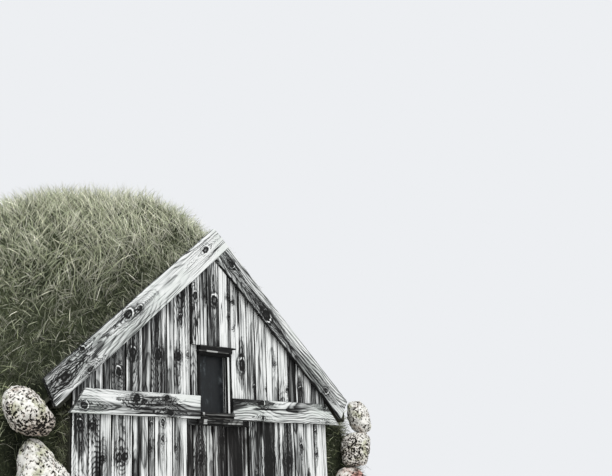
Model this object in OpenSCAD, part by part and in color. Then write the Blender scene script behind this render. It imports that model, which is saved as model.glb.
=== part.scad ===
// Turf house: a weathered timber gable with a plank door and a small window, set in the front of a
// loaf-shaped mound of turf that is laid over one room with a rafter roof. Dry boulders stand beside
// the boards. x runs to the right, y from the front to the back, z up from the ground.

/* [Mound] */
// Height of the mound's crown above the ground
crown_h = 4010; // [3900:10:4500]
// Width of the mound's foot behind the gable
mound_w = 6300; // [6000:10:6900]
// Thickness of a turf wall's foot at the gable
wall_foot_w = 1000; // [950:10:1300]
// Length of the mound, from the front of the boards to the back
mound_len = 6500; // [6200:10:8000]
// Length over which the mound swells from the gable up to its crown
swell_len = 2300; // [2000:50:3200]
// How quickly the mound swells behind the gable
swell_power = 3.2; // [2:0.1:3.4]
// How far the crown sinks towards the back
back_fall = 350; // [0:10:500]
// Depth of the broad hollows in the turf
uneven = 110; // [0:5:140]
// How far the foot of the mound spreads out
foot_flare = 150; // [0:10:200]
// How far the soil just behind the bargeboards lies below their upper edge
soil_drop = 35; // [25:5:110]
// Distance from the ridge to which the soil there follows the roof
soil_run = 950; // [900:10:1200]
// Half width of the nearly level top of the crown's outline
crown_run = 1350; // [1200:10:1700]
// Height of the shoulder in the crown's outline
shoulder_h = 2800; // [2600:10:3200]
// How far that shoulder lies in from the foot
shoulder_in = 550; // [300:10:700]
// Length of the rounded back end
dome_len = 3000; // [2200:50:3200]
// Bluntness of the rounded back end
dome_power = 2.2; // [2:0.1:3]

/* [Room] */
// Width between the turf walls
room_w = 2400; // [2300:10:2500]
// Depth from the back of the boards to the back wall
room_len = 4500; // [3600:10:4800]
// Height of the turf walls inside
wall_h = 1780; // [1770:5:2140]
// Length of the rafters' seats, from the inner face of the turf wall outwards
seat_len = 183.1; // [160:0.1:220]

/* [Gable] */
// Pitch of the roof in degrees
roof_pitch = 40.1; // [38:0.1:42]
// How far the boards lap over each turf wall
boards_lap = 100; // [80:5:110]
// Thickness of the wall boards
boards_t = 25; // [18:1:32]
// How far above the band's lower edge the lower and the upper boards meet
lap_rise = 85; // [55:5:130]
// Width of the left bargeboard, which runs up over the ridge
barge_left_w = 200; // [160:5:230]
// Width of the right bargeboard, which butts under the left one
barge_right_w = 180; // [150:5:200]
// Thickness of the bargeboards
barge_t = 32; // [25:1:45]
// Gap between the wall boards and the bargeboards
barge_gap = 13; // [8:1:30]
// How far the bargeboards' lower tips pass the eaves
barge_pass = 15; // [5:1:40]
// How far the cut end of a bargeboard leans inwards
barge_cut = 95; // [60:1:130]
// Depth of the roof boarding below the bargeboards' upper edge
verge_depth = 120; // [90:5:140]

/* [Band] */
// How far the band's lower edge lies below the top of the turf walls
band_drop = 35; // [20:1:45]
// Width of the band boards
band_w = 173; // [150:1:190]
// Thickness of the band boards
band_t = 28; // [20:1:35]
// Gap between the window opening and the left band board
band_left_gap = 1; // [1:1:20]
// How far the lower corner of the left band board passes the boards' edge
band_left_pass = 29; // [0:1:40]
// Slant of the left band board's outer end
band_left_cut = 116; // [60:1:150]
// Gap between the window opening and the right band board
band_right_gap = 17; // [1:1:30]
// How far the lower corner of the right band board passes the boards' edge
band_right_pass = 148; // [100:1:155]
// Slant of the right band board's outer end
band_right_cut = 169; // [100:1:190]

/* [Window] */
// Width of the window opening in the boards
win_w = 326; // [280:1:340]
// Height of the window's lower edge above the band's lower edge
sill_rise = 49; // [42:1:60]
// Height of the window opening
win_h = 466; // [400:1:500]
// Thickness of the window's jambs and head
frame_t = 20; // [15:1:25]
// Depth of the window frame behind the boards' front
frame_depth = 75; // [60:1:90]
// Depth of the pane behind the boards' front
pane_depth = 45; // [35:1:55]
// Thickness of the pane
pane_t = 4; // [3:0.5:6]
// Thickness of the window sill, which fits between the band boards
sill_t = 26; // [20:1:30]
// How far the sill stands out in front of the boards
sill_out = 48; // [40:1:70]
// Height of the ledge board below the band
ledge_h = 37; // [30:1:42]
// How far the ledge board passes the window's left edge
ledge_left_pass = 19; // [5:1:60]
// How far the ledge board passes the window's right edge
ledge_right_pass = 109; // [40:1:160]
// Thickness of the ledge board under the sill
ledge_t = 34; // [30:1:40]
// Height of the board over the window, below the raised panel
hood_h = 50; // [40:1:60]
// How far that board stands out
hood_out = 36; // [32:1:60]
// Thickness of the drip lath on top of it
drip_t = 10; // [8:1:14]
// How far the drip lath passes the window's right edge
drip_pass = 80; // [40:1:110]
// How far the raised panel passes the window's left edge
panel_left_pass = 77; // [40:1:85]
// How far the raised panel passes the window's right edge
panel_right_pass = 7; // [4:1:35]
// Thickness of the raised panel
panel_t = 24; // [18:1:28]

/* [Door] */
// Distance of the door's centre from the ridge, to the right
door_x = 50; // [0:5:80]
// Width of the doorway in the boards
door_w = 640; // [600:5:680]
// Height of the doorway in the boards
door_h = 1700; // [1400:1:1705]
// Thickness of the door's planks
leaf_t = 28; // [22:1:35]
// How far the leaf laps behind the wall boards
leaf_lap = 10; // [8:1:15]
// Gap between the leaf and the pieces that it moves past
leaf_gap = 6; // [5.5:0.5:8]
// Gap at the leaf's free edge
swing_gap = 12; // [10:1:15]
// Height of the door's lower edge
leaf_foot = 68; // [66:1:80]
// Height of the threshold
threshold_h = 60; // [40:1:60]
// Width of the door jambs
jamb_w = 90; // [70:1:110]
// Depth of the door jambs
jamb_d = 50; // [45:1:52]
// Width of the ledges across the back of the door
door_ledge_w = 110; // [90:1:130]
// Thickness of those ledges
door_ledge_t = 22; // [18:1:24]
// Length of an iron strap
strap_len = 420; // [360:5:460]
// Width of an iron strap
strap_w = 40; // [30:1:50]
// Thickness of an iron strap
strap_t = 6; // [4:1:8]
// Radius of the hinge pin
pin_r = 6; // [5:0.5:8]
// Outer radius of the strap's eye
eye_r = 11; // [10:0.5:13]
// Running clearance between the pin and the eye
pin_clear = 0.05; // [0.03:0.01:0.08]
// Length of the wooden pull
pull_len = 220; // [180:5:260]

/* [Frame] */
// Side of the square posts along the walls
post_w = 100; // [80:5:120]
// Width of the corner posts
corner_w = 120; // [110:5:130]
// Width of a wall plate
plate_w = 120; // [100:5:130]
// Height of a wall plate
plate_h = 100; // [90:5:110]
// Width of a rafter
rafter_w = 60; // [50:5:80]
// Depth of a rafter, square to the roof
rafter_h = 100; // [80:5:120]
// Thickness of the ridge board
ridge_w = 50; // [40:5:60]
// Height of the ridge board
ridge_h = 180; // [140:5:200]
// Thickness of the roof boarding
roof_board_t = 25; // [20:1:32]
// Gap between the frame's upper faces and the roof boarding
bed_gap = 0.3; // [0.2:0.1:0.9]
// Height of the collars above the turf walls
collar_rise = 570; // [550:5:650]
// Height of a collar board
collar_w = 100; // [80:5:120]
// Thickness of a collar board
collar_t = 25; // [20:1:32]
// Number of rafter pairs between the front one and the rear one
inner_pairs = 3; // [2:1:4]
// Posts along each wall
wall_post_count = 3; // [2:1:4]

/* [Boulders] */
// How far the boulders stand out in front of the boards
stone_out = 200; // [160:5:240]
// Gap between one boulder and the next, and behind them
seat_gap = 0.5; // [0.3:0.1:0.9]
// Each boulder from the ground up: distance of its middle from the boards' edge, width, depth, height
// of the top, how far the top leans outwards, and the share of the width that is left at its foot and
// at its top. Left of the boards
left_stones = [[330, 600, 350, 470, -30, 0.74, 0.62], [240, 500, 350, 1010, -60, 0.6, 0.6],
               [207, 390, 350, 1585, 240, 0.5, 0.2], [352, 370, 345, 1903, 118, 0.4, 0.28]];
// Right of the boards
right_stones = [[350, 620, 350, 450, 50, 0.74, 0.64], [300, 500, 350, 950, -50, 0.62, 0.6],
                [295, 340, 310, 1400, 40, 0.6, 0.5], [385, 300, 290, 1690, 90, 0.6, 0.6],
                [448, 250, 220, 1965, -60, 0.6, 0.5]];

/* [Hidden] */
$fn = 48;

function lerp(a, b, w) = a + (b - a) * w;

// Places along y are given as a depth behind the boards' front face
front_y = -(mound_len - stone_out) / 2;
function y_at(depth) = front_y + depth;

// The roof rises from the seats of its rafters. Its layers are lines at a distance x from the ridge.
tan_p = tan(roof_pitch);
cos_p = cos(roof_pitch);
sin_p = sin(roof_pitch);
seat_x = room_w / 2 + seat_len;
apex_h = wall_h + tan_p * seat_x + (rafter_h + roof_board_t + verge_depth) / cos_p;
function verge_line(x) = apex_h - tan_p * abs(x);
function roof_top(x) = verge_line(x) - verge_depth / cos_p;
function roof_under(x) = roof_top(x) - roof_board_t / cos_p;
function rafter_top(x) = roof_under(x) - bed_gap;
function rafter_under(x) = roof_under(x) - rafter_h / cos_p;
soil_h = apex_h - soil_drop;
function soil_line(x) = soil_h - tan_p * abs(x);

// The eaves rest on the turf walls
eave_x = (roof_under(0) - wall_h) / tan_p;
rafter_end = eave_x - 98;
plate_in = room_w / 2 - 30;
barge_end = eave_x + barge_pass;
corner_out = room_w / 2 + boards_lap;
corner_in = corner_out - corner_w;

turf_front = boards_t + 125;
back_face = boards_t + room_len;
dome_start = mound_len - dome_len;
butt_share = 0.12;
barge_back = -barge_gap;
barge_front = -barge_gap - barge_t;

band_h = wall_h - band_drop;
lap_h = band_h + lap_rise;
win_l = -win_w / 2;
win_r = win_w / 2;
win_sill_h = band_h + sill_rise;
band_left_in = win_w / 2 + band_left_gap;
band_right_in = win_w / 2 + band_right_gap;
band_left_out = corner_out + band_left_pass;
band_right_out = corner_out + band_right_pass;
ledge_left = win_l - ledge_left_pass;
ledge_right = win_r + ledge_right_pass;
panel_left = win_l - panel_left_pass;
panel_right = win_r + panel_right_pass;
win_top = win_sill_h + win_h;
sill_under = win_sill_h - sill_t;

door_l = door_x - door_w / 2;
door_r = door_x + door_w / 2;
leaf_l = door_l - leaf_lap;
leaf_r = door_r + leaf_lap;
leaf_top = door_h + leaf_lap;
leaf_front = boards_t + leaf_gap;
leaf_back = leaf_front + leaf_t;
jamb_l = leaf_l - leaf_gap;
jamb_r = leaf_r + swing_gap;
lintel_under = leaf_top + 8;
ledge_back = leaf_back + door_ledge_t;
strap_heights = [leaf_foot + 182, leaf_top - 210];
ledge_heights = [strap_heights[0], lerp(strap_heights[0], strap_heights[1], 0.52), strap_heights[1]];
collar_h = wall_h + collar_rise;
// The pin stands behind the leaf, in the gap beside the hinge jamb
pin_x = leaf_l - leaf_gap / 2;
pin_depth = ledge_back + eye_r;
eye_h = 50;
pull_h = 950;
pull_x = leaf_r - 80;
pull_stand = 30;

roof_stations = 16;
roof_points = 14;
wall_points = 8;
back_stations = 16;
back_points = 18;
stone_rings = 6;
stone_sides = 14;

// Cross-section of the mound: a curve from the ridge to the foot, which changes from the gable's
// shape into the crown's as the mound swells, and shrinks towards the rounded back
front_foot = room_w / 2 + wall_foot_w;
gable_curve = [[0, soil_h], [soil_run, soil_line(soil_run)], [front_foot - 20, wall_h - 30], [front_foot, 0]];
flank = mound_w / 2 - foot_flare;
crown_curve = [[0, crown_h], [crown_run, crown_h], [flank - shoulder_in, shoulder_h], [flank, 0]];
function swell(depth) =
    1 - pow(1 - min(max(depth - turf_front, 0), swell_len) / swell_len, swell_power);
function taper(depth) =
    depth <= dome_start ? 1
    : max(butt_share, pow(1 - pow(min((depth - dome_start) / dome_len, 1), dome_power), 1 / dome_power));
function section(depth) =
    let (sunk = 1 - back_fall / crown_h * min(max(depth - turf_front, 0) / mound_len, 1))
    [for (p = lerp(gable_curve, crown_curve, swell(depth)) * taper(depth)) [p[0], p[1] * sunk]];
function bezier(c, t) =
    c[0] * pow(1 - t, 3) + c[1] * 3 * t * pow(1 - t, 2) + c[2] * 3 * t * t * (1 - t) + c[3] * pow(t, 3);
// Broad hollows, which differ on the two sides and die out at the gable: from 0 to 1
function hollow(depth, t) =
    swell(depth) * (2 - sin(depth / 8 + 500 * t - 90) - sin(depth / 5 - 620 * t + 40)) / 4;
// A point of the skin, where t runs from 0 at the ridge to 1 at the foot, or to -1 on the left
function mound_point(depth, t) =
    let (p = bezier(section(depth), abs(t)),
         sink = uneven * hollow(depth, t),
         high = max(p[1] - wall_h, 0) / (crown_h - wall_h),
         low = pow(max(1 - p[1] / 700, 0), 2))
    [sign(t) * (p[0] * (1 - sink / flank) + foot_flare * low * swell(depth) * taper(depth)),
     y_at(depth), p[1] - sink * high];
// Where that curve passes the top of the turf wall, found by halving
function wall_share(depth, low = 0, high = 1, steps = 24) =
    let (mid = (low + high) / 2)
    steps == 0 ? mid
    : bezier(section(depth), mid)[1] > wall_h ? wall_share(depth, mid, high, steps - 1)
    : wall_share(depth, low, mid, steps - 1);
function at_height(p, z) = [p[0], p[1], z];
roof_depths = [for (k = [0:roof_stations]) lerp(turf_front, back_face, pow(k / roof_stations, 1.5))];

function roof_ring(depth, side) =
    let (share = wall_share(depth), y = y_at(depth))
    [for (i = [0:roof_points - 1]) mound_point(depth, side * share * i / roof_points),
     at_height(mound_point(depth, side * share), wall_h),
     [side * eave_x, y, wall_h], [side * eave_x, y, roof_top(eave_x)], [0, y, roof_top(0)]];

function wall_ring(depth, side) =
    let (share = wall_share(depth), y = y_at(depth))
    [at_height(mound_point(depth, side * share), wall_h),
     for (i = [1:wall_points]) mound_point(depth, side * lerp(share, 1, i / wall_points)),
     [side * room_w / 2, y, 0], [side * room_w / 2, y, wall_h]];

function back_ring(depth) = [for (i = [-back_points:back_points]) mound_point(depth, i / back_points)];
function turned(ring) = [for (i = [len(ring) - 1:-1:0]) ring[i]];

// Closed skin through a row of rings, with a flat cap on the first and the last
module loft(rings) {
    n = len(rings[0]);
    last = len(rings) - 1;
    function at(j, i) = j * n + i % n;
    polyhedron(
        points = [for (r = rings) each r],
        faces = concat(
            [[for (i = [0:n - 1]) i]],
            [for (j = [0:last - 1]) for (i = [0:n - 1]) each
                [[at(j, i), at(j + 1, i), at(j + 1, i + 1)], [at(j, i), at(j + 1, i + 1), at(j, i + 1)]]],
            [[for (i = [n - 1:-1:0]) last * n + i]]));
}

// Upright outline in x and z, given thickness from one depth to another
module slab(from, to) {
    translate([0, y_at(to), 0]) rotate([90, 0, 0]) linear_extrude(to - from) children();
}
module rect(x0, x1, z0, z1) {
    translate([x0, z0]) square([x1 - x0, z1 - z0]);
}
module block(x0, x1, from, to, z0, z1) {
    translate([x0, y_at(from), z0]) cube([x1 - x0, to - from, z1 - z0]);
}
module to_left() {
    mirror([1, 0, 0]) children();
}

module turf() {
    color("#4f5b38") children();
}
module grey_wood() {
    color("#b7b8b6") children();
}
module dark_wood() {
    color("#6f6c67") children();
}
module stone() {
    color("#c9c4b6") children();
}
module iron() {
    color("#3d3632") children();
}

module turf_wall_right() turf() loft([for (d = roof_depths) wall_ring(d, 1)]);
module turf_wall_left() turf() loft([for (d = roof_depths) turned(wall_ring(d, -1))]);
module turf_roof_right() turf() loft([for (d = roof_depths) roof_ring(d, 1)]);
module turf_roof_left() turf() loft([for (d = roof_depths) turned(roof_ring(d, -1))]);
module turf_back() {
    first = asin(pow(max(back_face - dome_start, 0) / dome_len, dome_power / 2));
    turf() loft([
        if (dome_start > back_face) back_ring(back_face),
        for (k = [0:back_stations])
            let (turn = lerp(first, 90, k / back_stations))
            back_ring(dome_start + dome_len * pow(sin(turn), 2 / dome_power))]);
}
// Sods laid along the verge, between the bargeboard and the mound
module verge_sods_right() {
    turf() slab(barge_back, turf_front)
        polygon([[0, roof_top(0)], [0, soil_h], [eave_x, soil_line(eave_x)], [eave_x, roof_top(eave_x)]]);
}
module verge_sods_left() to_left() verge_sods_right();

// A rounded boulder with a flat foot and top, which leans outwards and back as it rises. It keeps
// clear of the turf behind it, of the boards and, higher up, of the eaves.
module boulder(x, w, d, z0, z1, lean, foot, top, turn) {
    middle = (turf_front - stone_out) / 2;
    function bulge(h) =
        let (end = h < 0.5 ? foot : top, power = lerp(0.8, 2.9, end))
        lerp(end, 1, pow(1 - pow(abs(2 * h - 1), power), 1 / power));
    function reach(a, h) =
        bulge(h) * (1 - 0.05 * abs(cos(a)) * (1 + sin(2 * a + turn)) - 0.05 * (1 + sin(3 * a + turn + 200 * h)));
    loft([
        for (k = [0:stone_rings])
            let (h = k / stone_rings, z = lerp(z0, z1, h), next = z + (z1 - z0) / stone_rings,
                 inner = next > wall_h - 10 ? barge_end + 2 : corner_out + 15)
            [for (i = [0:stone_sides - 1])
                let (a = 270 + 360 * i / stone_sides, r = reach(a, h))
                [max(x + lean * (h - 0.5) + w / 2 * r * cos(a), inner),
                 min(y_at(middle + 40 * h + d / 2 * r * sin(a)), y_at(turf_front - seat_gap)),
                 z]]]);
}
module boulders(stones, turn) {
    stone()
        for (k = [0:len(stones) - 1])
            let (s = stones[k])
            boulder(corner_out + s[0], s[1], s[2], k == 0 ? 0 : stones[k - 1][3] + seat_gap, s[3], s[4], s[5], s[6],
                    turn + 97 * k);
}
module boulders_left() to_left() boulders(left_stones, 20);
module boulders_right() boulders(right_stones, 200);

module gable_outline() {
    eave = rafter_top(corner_out);
    polygon([[-corner_out, 0], [-corner_out, eave], [0, rafter_top(0)], [corner_out, eave], [corner_out, 0]]);
}
module boards_lower_left() grey_wood() slab(0, boards_t) rect(-corner_out, door_l, 0, lap_h);
module boards_lower_right() grey_wood() slab(0, boards_t) rect(door_r, corner_out, 0, lap_h);
module boards_over_door() {
    grey_wood() slab(0, boards_t) difference() {
        rect(door_l, door_r, door_h, lap_h);
        rect(win_l, win_r, sill_under, lap_h + 1);
    }
}
module gable_half(x0, x1) {
    grey_wood() slab(0, boards_t) difference() {
        intersection() {
            gable_outline();
            rect(x0, x1, lap_h, apex_h);
        }
        rect(win_l, win_r, sill_under, win_top);
    }
}
module boards_gable_left() gable_half(-corner_out, 0);
module boards_gable_right() gable_half(0, corner_out);

// Lower edges of the bargeboards
left_edge_h = apex_h - barge_left_w / cos_p;
right_edge_h = apex_h - barge_right_w / cos_p;
// Where the right bargeboard's outer and inner edges meet the left bargeboard's lower edge
cross_x = barge_left_w / (2 * sin_p);
inner_x = (barge_left_w - barge_right_w) / (2 * sin_p);
module bargeboard_left() {
    tip = barge_end - barge_cut;
    grey_wood() slab(barge_front, barge_back)
        polygon([[-barge_end, verge_line(barge_end)], [0, apex_h], [cross_x, verge_line(cross_x)],
                 [-tip, left_edge_h - tan_p * tip]]);
}
module bargeboard_right() {
    tip = barge_end - barge_cut;
    grey_wood() slab(barge_front, barge_back)
        polygon([[cross_x, verge_line(cross_x)], [barge_end, verge_line(barge_end)],
                 [tip, right_edge_h - tan_p * tip], [inner_x, left_edge_h + tan_p * inner_x]]);
}
module band_left() {
    grey_wood() slab(-band_t, 0)
        polygon([[-band_left_out, band_h], [-band_left_out + band_left_cut, band_h + band_w],
                 [-band_left_in, band_h + band_w], [-band_left_in, band_h]]);
}
module band_right() {
    grey_wood() slab(-band_t, 0)
        polygon([[band_right_out, band_h], [band_right_out - band_right_cut, band_h + band_w],
                 [band_right_in, band_h + band_w], [band_right_in, band_h]]);
}
// Raised panel of boards over the window, cut to the bargeboards' lower edges
module panel_over_window() {
    clear = 2 / cos_p;
    grey_wood() slab(-panel_t, 0)
        polygon([[panel_left, win_top + hood_h],
                 [panel_left, left_edge_h - clear + tan_p * panel_left],
                 [inner_x, left_edge_h - clear + tan_p * inner_x],
                 [panel_right, right_edge_h - clear - tan_p * panel_right],
                 [panel_right, win_top + hood_h]]);
}

// Board over the window, with a thin lath on top that throws the drips clear of it
module window_hood() {
    dark_wood() slab(-hood_out, 0) {
        rect(win_l, panel_right, win_top, win_top + hood_h);
        rect(win_l, win_r + drip_pass, win_top + hood_h - drip_t, win_top + hood_h);
    }
}
module window_head() grey_wood() block(win_l, win_r, -12, frame_depth, win_top - frame_t, win_top);
module window_jambs() {
    grey_wood() {
        block(win_l, win_l + frame_t, -8, frame_depth, win_sill_h, win_top - frame_t);
        block(win_r - frame_t, win_r, -8, frame_depth, win_sill_h, win_top - frame_t);
    }
}
module window_sill() {
    dark_wood() {
        block(-band_left_in + 1, band_right_in - 1, -sill_out, 0, sill_under, win_sill_h);
        block(win_l, win_r, -1, frame_depth, sill_under, win_sill_h);
    }
}
// Board under the sill: it fits between the band boards and is wider below them
module window_ledge() {
    dark_wood() slab(-ledge_t, 0) {
        rect(-band_left_in + 1, band_right_in - 1, band_h - 1, sill_under);
        rect(ledge_left, ledge_right, band_h - ledge_h, band_h);
    }
}
module window_pane() {
    color("#1c2226")
        block(win_l + frame_t, win_r - frame_t, pane_depth, pane_depth + pane_t, win_sill_h, win_top - frame_t);
}

module door_jamb_left() dark_wood() block(jamb_l - jamb_w, jamb_l, boards_t, boards_t + jamb_d, 0, lintel_under);
module door_jamb_right() dark_wood() block(jamb_r, jamb_r + jamb_w, boards_t, boards_t + jamb_d, 0, lintel_under);
module door_lintel() dark_wood() block(-corner_in, corner_in, boards_t, boards_t + 100, lintel_under, sill_under);
module threshold() dark_wood() block(door_l, door_r, -10, boards_t + jamb_d, 0, threshold_h);

module door_leaf() dark_wood() block(leaf_l, leaf_r, leaf_front, leaf_back, leaf_foot, leaf_top);
module door_ledges() {
    dark_wood() for (h = ledge_heights)
        block(leaf_l + 50, leaf_r - 40, leaf_back, ledge_back, h - door_ledge_w / 2, h + door_ledge_w / 2);
}
// Iron bands on the ledges, each bent into an eye that drops over its pin
module door_straps() {
    iron() for (h = strap_heights) difference() {
        union() {
            block(pin_x, pin_x + strap_len, ledge_back, ledge_back + strap_t, h - strap_w / 2, h + strap_w / 2);
            translate([pin_x, y_at(pin_depth), h - eye_h / 2]) cylinder(r = eye_r, h = eye_h);
        }
        translate([pin_x, y_at(pin_depth), h - eye_h]) cylinder(r = pin_r + pin_clear, h = 2 * eye_h);
    }
}
module door_pintles() {
    iron() for (h = strap_heights) {
        foot = h - eye_h / 2 - seat_gap;
        block(jamb_l - 50, pin_x + 13, boards_t + jamb_d, pin_depth + 12, foot - 20, foot);
        translate([pin_x, y_at(pin_depth), foot - 10]) cylinder(r = pin_r, h = eye_h + 12);
    }
}
module door_pull() {
    grip = leaf_front - pull_stand;
    dark_wood() {
        block(pull_x - 12, pull_x + 12, grip - 22, grip, pull_h, pull_h + pull_len);
        for (h = [pull_h + 15, pull_h + pull_len - 45])
            block(pull_x - 12, pull_x + 12, grip - 1, leaf_front, h, h + 30);
    }
}

module corner_post_right() dark_wood() block(corner_in, corner_out, boards_t, turf_front, 0, wall_h);
module corner_post_left() to_left() corner_post_right();
module wall_posts() {
    half = room_w / 2;
    step = (room_len - 150) / wall_post_count;
    dark_wood() for (side = [0, 1], k = [1:wall_post_count])
        mirror([side, 0, 0])
            block(half - post_w, half, k * step, k * step + post_w, 0, wall_h);
}
module wall_plate_right() dark_wood() block(plate_in, plate_in + plate_w, boards_t, back_face, wall_h, wall_h + plate_h);
module wall_plate_left() to_left() wall_plate_right();
module ridge_board() {
    top = rafter_top(ridge_w / 2);
    dark_wood() block(-ridge_w / 2, ridge_w / 2, boards_t, back_face, top - ridge_h, top);
}

// One rafter, notched over its wall plate, and its seat cut on top of the turf wall
module rafter_outline() {
    difference() {
        polygon([[ridge_w / 2, rafter_top(ridge_w / 2)], [rafter_end, rafter_top(rafter_end)],
                 [rafter_end, wall_h], [seat_x, wall_h], [ridge_w / 2, rafter_under(ridge_w / 2)]]);
        rect(plate_in, plate_in + plate_w, wall_h - 1, wall_h + plate_h);
    }
}
module rafter_pair(depth) {
    slab(depth, depth + rafter_w) {
        rafter_outline();
        mirror([1, 0]) rafter_outline();
    }
}
rear_depth = back_face - rafter_w - 30;
pair_step = (rear_depth - boards_t) / (inner_pairs + 1);
module rafters_outer() {
    dark_wood() {
        rafter_pair(boards_t);
        rafter_pair(rear_depth);
    }
}
module rafters_inner() {
    dark_wood() for (k = [1:inner_pairs])
        rafter_pair(boards_t + k * pair_step);
}
// Each collar is nailed to the back of its pair of rafters
module collars() {
    dark_wood() for (k = [1:inner_pairs])
        let (depth = boards_t + k * pair_step + rafter_w)
        slab(depth, depth + collar_t) intersection() {
            rect(-room_w / 2, room_w / 2, collar_h, collar_h + collar_w);
            gable_outline();
        }
}
module roof_boarding_right() {
    dark_wood() slab(barge_back, back_face)
        polygon([[0, roof_under(0)], [0, roof_top(0)], [eave_x, roof_top(eave_x)], [eave_x, wall_h]]);
}
module roof_boarding_left() to_left() roof_boarding_right();

turf_wall_left();
turf_wall_right();
turf_back();
turf_roof_left();
turf_roof_right();
verge_sods_left();
verge_sods_right();
boulders_left();
boulders_right();
boards_lower_left();
boards_lower_right();
boards_over_door();
boards_gable_left();
boards_gable_right();
panel_over_window();
bargeboard_left();
bargeboard_right();
band_left();
band_right();
window_hood();
window_head();
window_jambs();
window_sill();
window_ledge();
window_pane();
door_jamb_left();
door_jamb_right();
door_lintel();
threshold();
door_leaf();
door_ledges();
door_straps();
door_pintles();
door_pull();
corner_post_left();
corner_post_right();
wall_posts();
wall_plate_left();
wall_plate_right();
ridge_board();
rafters_outer();
rafters_inner();
collars();
roof_boarding_left();
roof_boarding_right();
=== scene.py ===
import math
from functools import partial

import bmesh
import bpy
import numpy as np
from mathutils import Matrix, Vector, noise
from mathutils.bvhtree import BVHTree


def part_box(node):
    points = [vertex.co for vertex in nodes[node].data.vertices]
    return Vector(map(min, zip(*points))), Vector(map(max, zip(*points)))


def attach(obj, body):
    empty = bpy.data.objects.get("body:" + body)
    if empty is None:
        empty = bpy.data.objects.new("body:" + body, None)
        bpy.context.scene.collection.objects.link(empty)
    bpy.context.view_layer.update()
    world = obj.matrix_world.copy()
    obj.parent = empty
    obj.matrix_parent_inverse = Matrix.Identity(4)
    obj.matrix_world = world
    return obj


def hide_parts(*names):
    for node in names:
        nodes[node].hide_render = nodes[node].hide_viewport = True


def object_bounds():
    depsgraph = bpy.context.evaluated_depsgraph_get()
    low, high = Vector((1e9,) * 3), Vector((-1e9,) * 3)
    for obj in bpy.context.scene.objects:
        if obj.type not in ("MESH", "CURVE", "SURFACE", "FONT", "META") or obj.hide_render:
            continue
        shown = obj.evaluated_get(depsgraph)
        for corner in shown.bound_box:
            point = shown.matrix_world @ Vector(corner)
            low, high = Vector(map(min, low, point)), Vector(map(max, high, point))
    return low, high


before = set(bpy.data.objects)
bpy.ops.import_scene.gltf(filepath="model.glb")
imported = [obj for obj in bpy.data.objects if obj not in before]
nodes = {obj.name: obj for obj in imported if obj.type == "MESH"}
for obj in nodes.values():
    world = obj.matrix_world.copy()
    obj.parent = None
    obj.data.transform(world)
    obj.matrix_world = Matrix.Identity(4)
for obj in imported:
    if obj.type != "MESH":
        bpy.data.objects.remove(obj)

cadLow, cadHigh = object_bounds()
scene = bpy.context.scene
mm = 0.001


def hexColor(text):  # sRGB hex to the linear colour that the shaders work in
    channels = [int(text[i:i + 2], 16) / 255 for i in (1, 3, 5)]
    return tuple(c / 12.92 if c <= 0.04045 else ((c + 0.055) / 1.055) ** 2.4 for c in channels) + (1.0,)


# Adds a node. Its links fill the inputs in order, or by name from a dictionary, and may be plain values.
# Stops are a ramp's colours or grey levels, and settings are the node's own. A Mix node of colours has
# its share at input 0, its colours at 6 and 7, and its result at output 2.
def addNode(tree, kind, links=(), out=0, stops=(), **settings):
    kind, _, operation = kind.partition(" ")
    node = tree.nodes.new("ShaderNode" + kind)
    if operation:
        node.operation = operation
    for name, value in settings.items():
        setattr(node, name, value)
    for index, (position, shade) in enumerate(stops):
        elements = node.color_ramp.elements
        element = elements[index] if index < 2 else elements.new(position)
        element.position = position
        element.color = hexColor(shade) if isinstance(shade, str) else (shade, shade, shade, 1.0)
    for name, value in links.items() if isinstance(links, dict) else enumerate(links):
        socket = node.inputs[name]
        if isinstance(value, bpy.types.NodeSocket):
            tree.links.new(value, socket)
        else:
            socket.default_value = hexColor(value) if isinstance(value, str) else value
    return node.outputs if out is None else node.outputs[out]


def newMaterial(name):  # a material, and addNode for its own tree
    material = bpy.data.materials.new(name)
    material.use_nodes = True
    material.node_tree.nodes.clear()
    return material, partial(addNode, material.node_tree)


def giveSurface(add, sockets, height=None, strength=0.0, depth=0.0):  # depth of the relief in metres
    if height is not None:
        sockets["Normal"] = add("Bump", {"Strength": strength, "Distance": depth, "Height": height})
    shader = add("BsdfPrincipled", sockets)
    add("OutputMaterial", {"Surface": shader}, out=None)


def dress(node, material):  # a CAD node whose shape is right only gets its finish
    slots = nodes[node].data.materials
    slots.clear()
    slots.append(material)


def newMesh(name, verts, faces, layers):  # layers give each point a number or a vector for its material
    mesh = bpy.data.meshes.new(name)
    mesh.from_pydata(verts, [], faces)
    for layer, rows in layers.items():
        rows = np.array(rows, np.float32)
        kind, field = ("FLOAT", "value") if rows.ndim == 1 else ("FLOAT_VECTOR", "vector")
        mesh.attributes.new(layer, kind, "POINT").data.foreach_set(field, rows.ravel())
    mesh.polygons.foreach_set("use_smooth", [True] * len(mesh.polygons))
    return mesh


def finishPiece(mesh, material, node=None, body="house"):  # node is the CAD node it stands for
    piece = bpy.data.objects.new(mesh.name, mesh)
    scene.collection.objects.link(piece)
    mesh.materials.append(material)
    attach(piece, body)
    if node:
        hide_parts(node)


# Seen from low down, in front and to the left of the gable
viewpoint = {
    "place": (-5.301, -8.904, 1.046),
    "yaw": 48.276,  # degrees from straight ahead towards the right
    "pitch": 15.201,
    "roll": -2.541,
    "lens": 58.82,
}


def setCamera(look):
    data = bpy.data.cameras.new("camera")
    data.lens = look["lens"]
    camera = bpy.data.objects.new("camera", data)
    scene.collection.objects.link(camera)
    turn = (Matrix.Rotation(math.radians(-look["yaw"]), 4, "Z")
            @ Matrix.Rotation(math.radians(90 + look["pitch"]), 4, "X")
            @ Matrix.Rotation(math.radians(look["roll"]), 4, "Z"))
    camera.matrix_world = Matrix.Translation(look["place"]) @ turn
    scene.camera = camera


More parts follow.
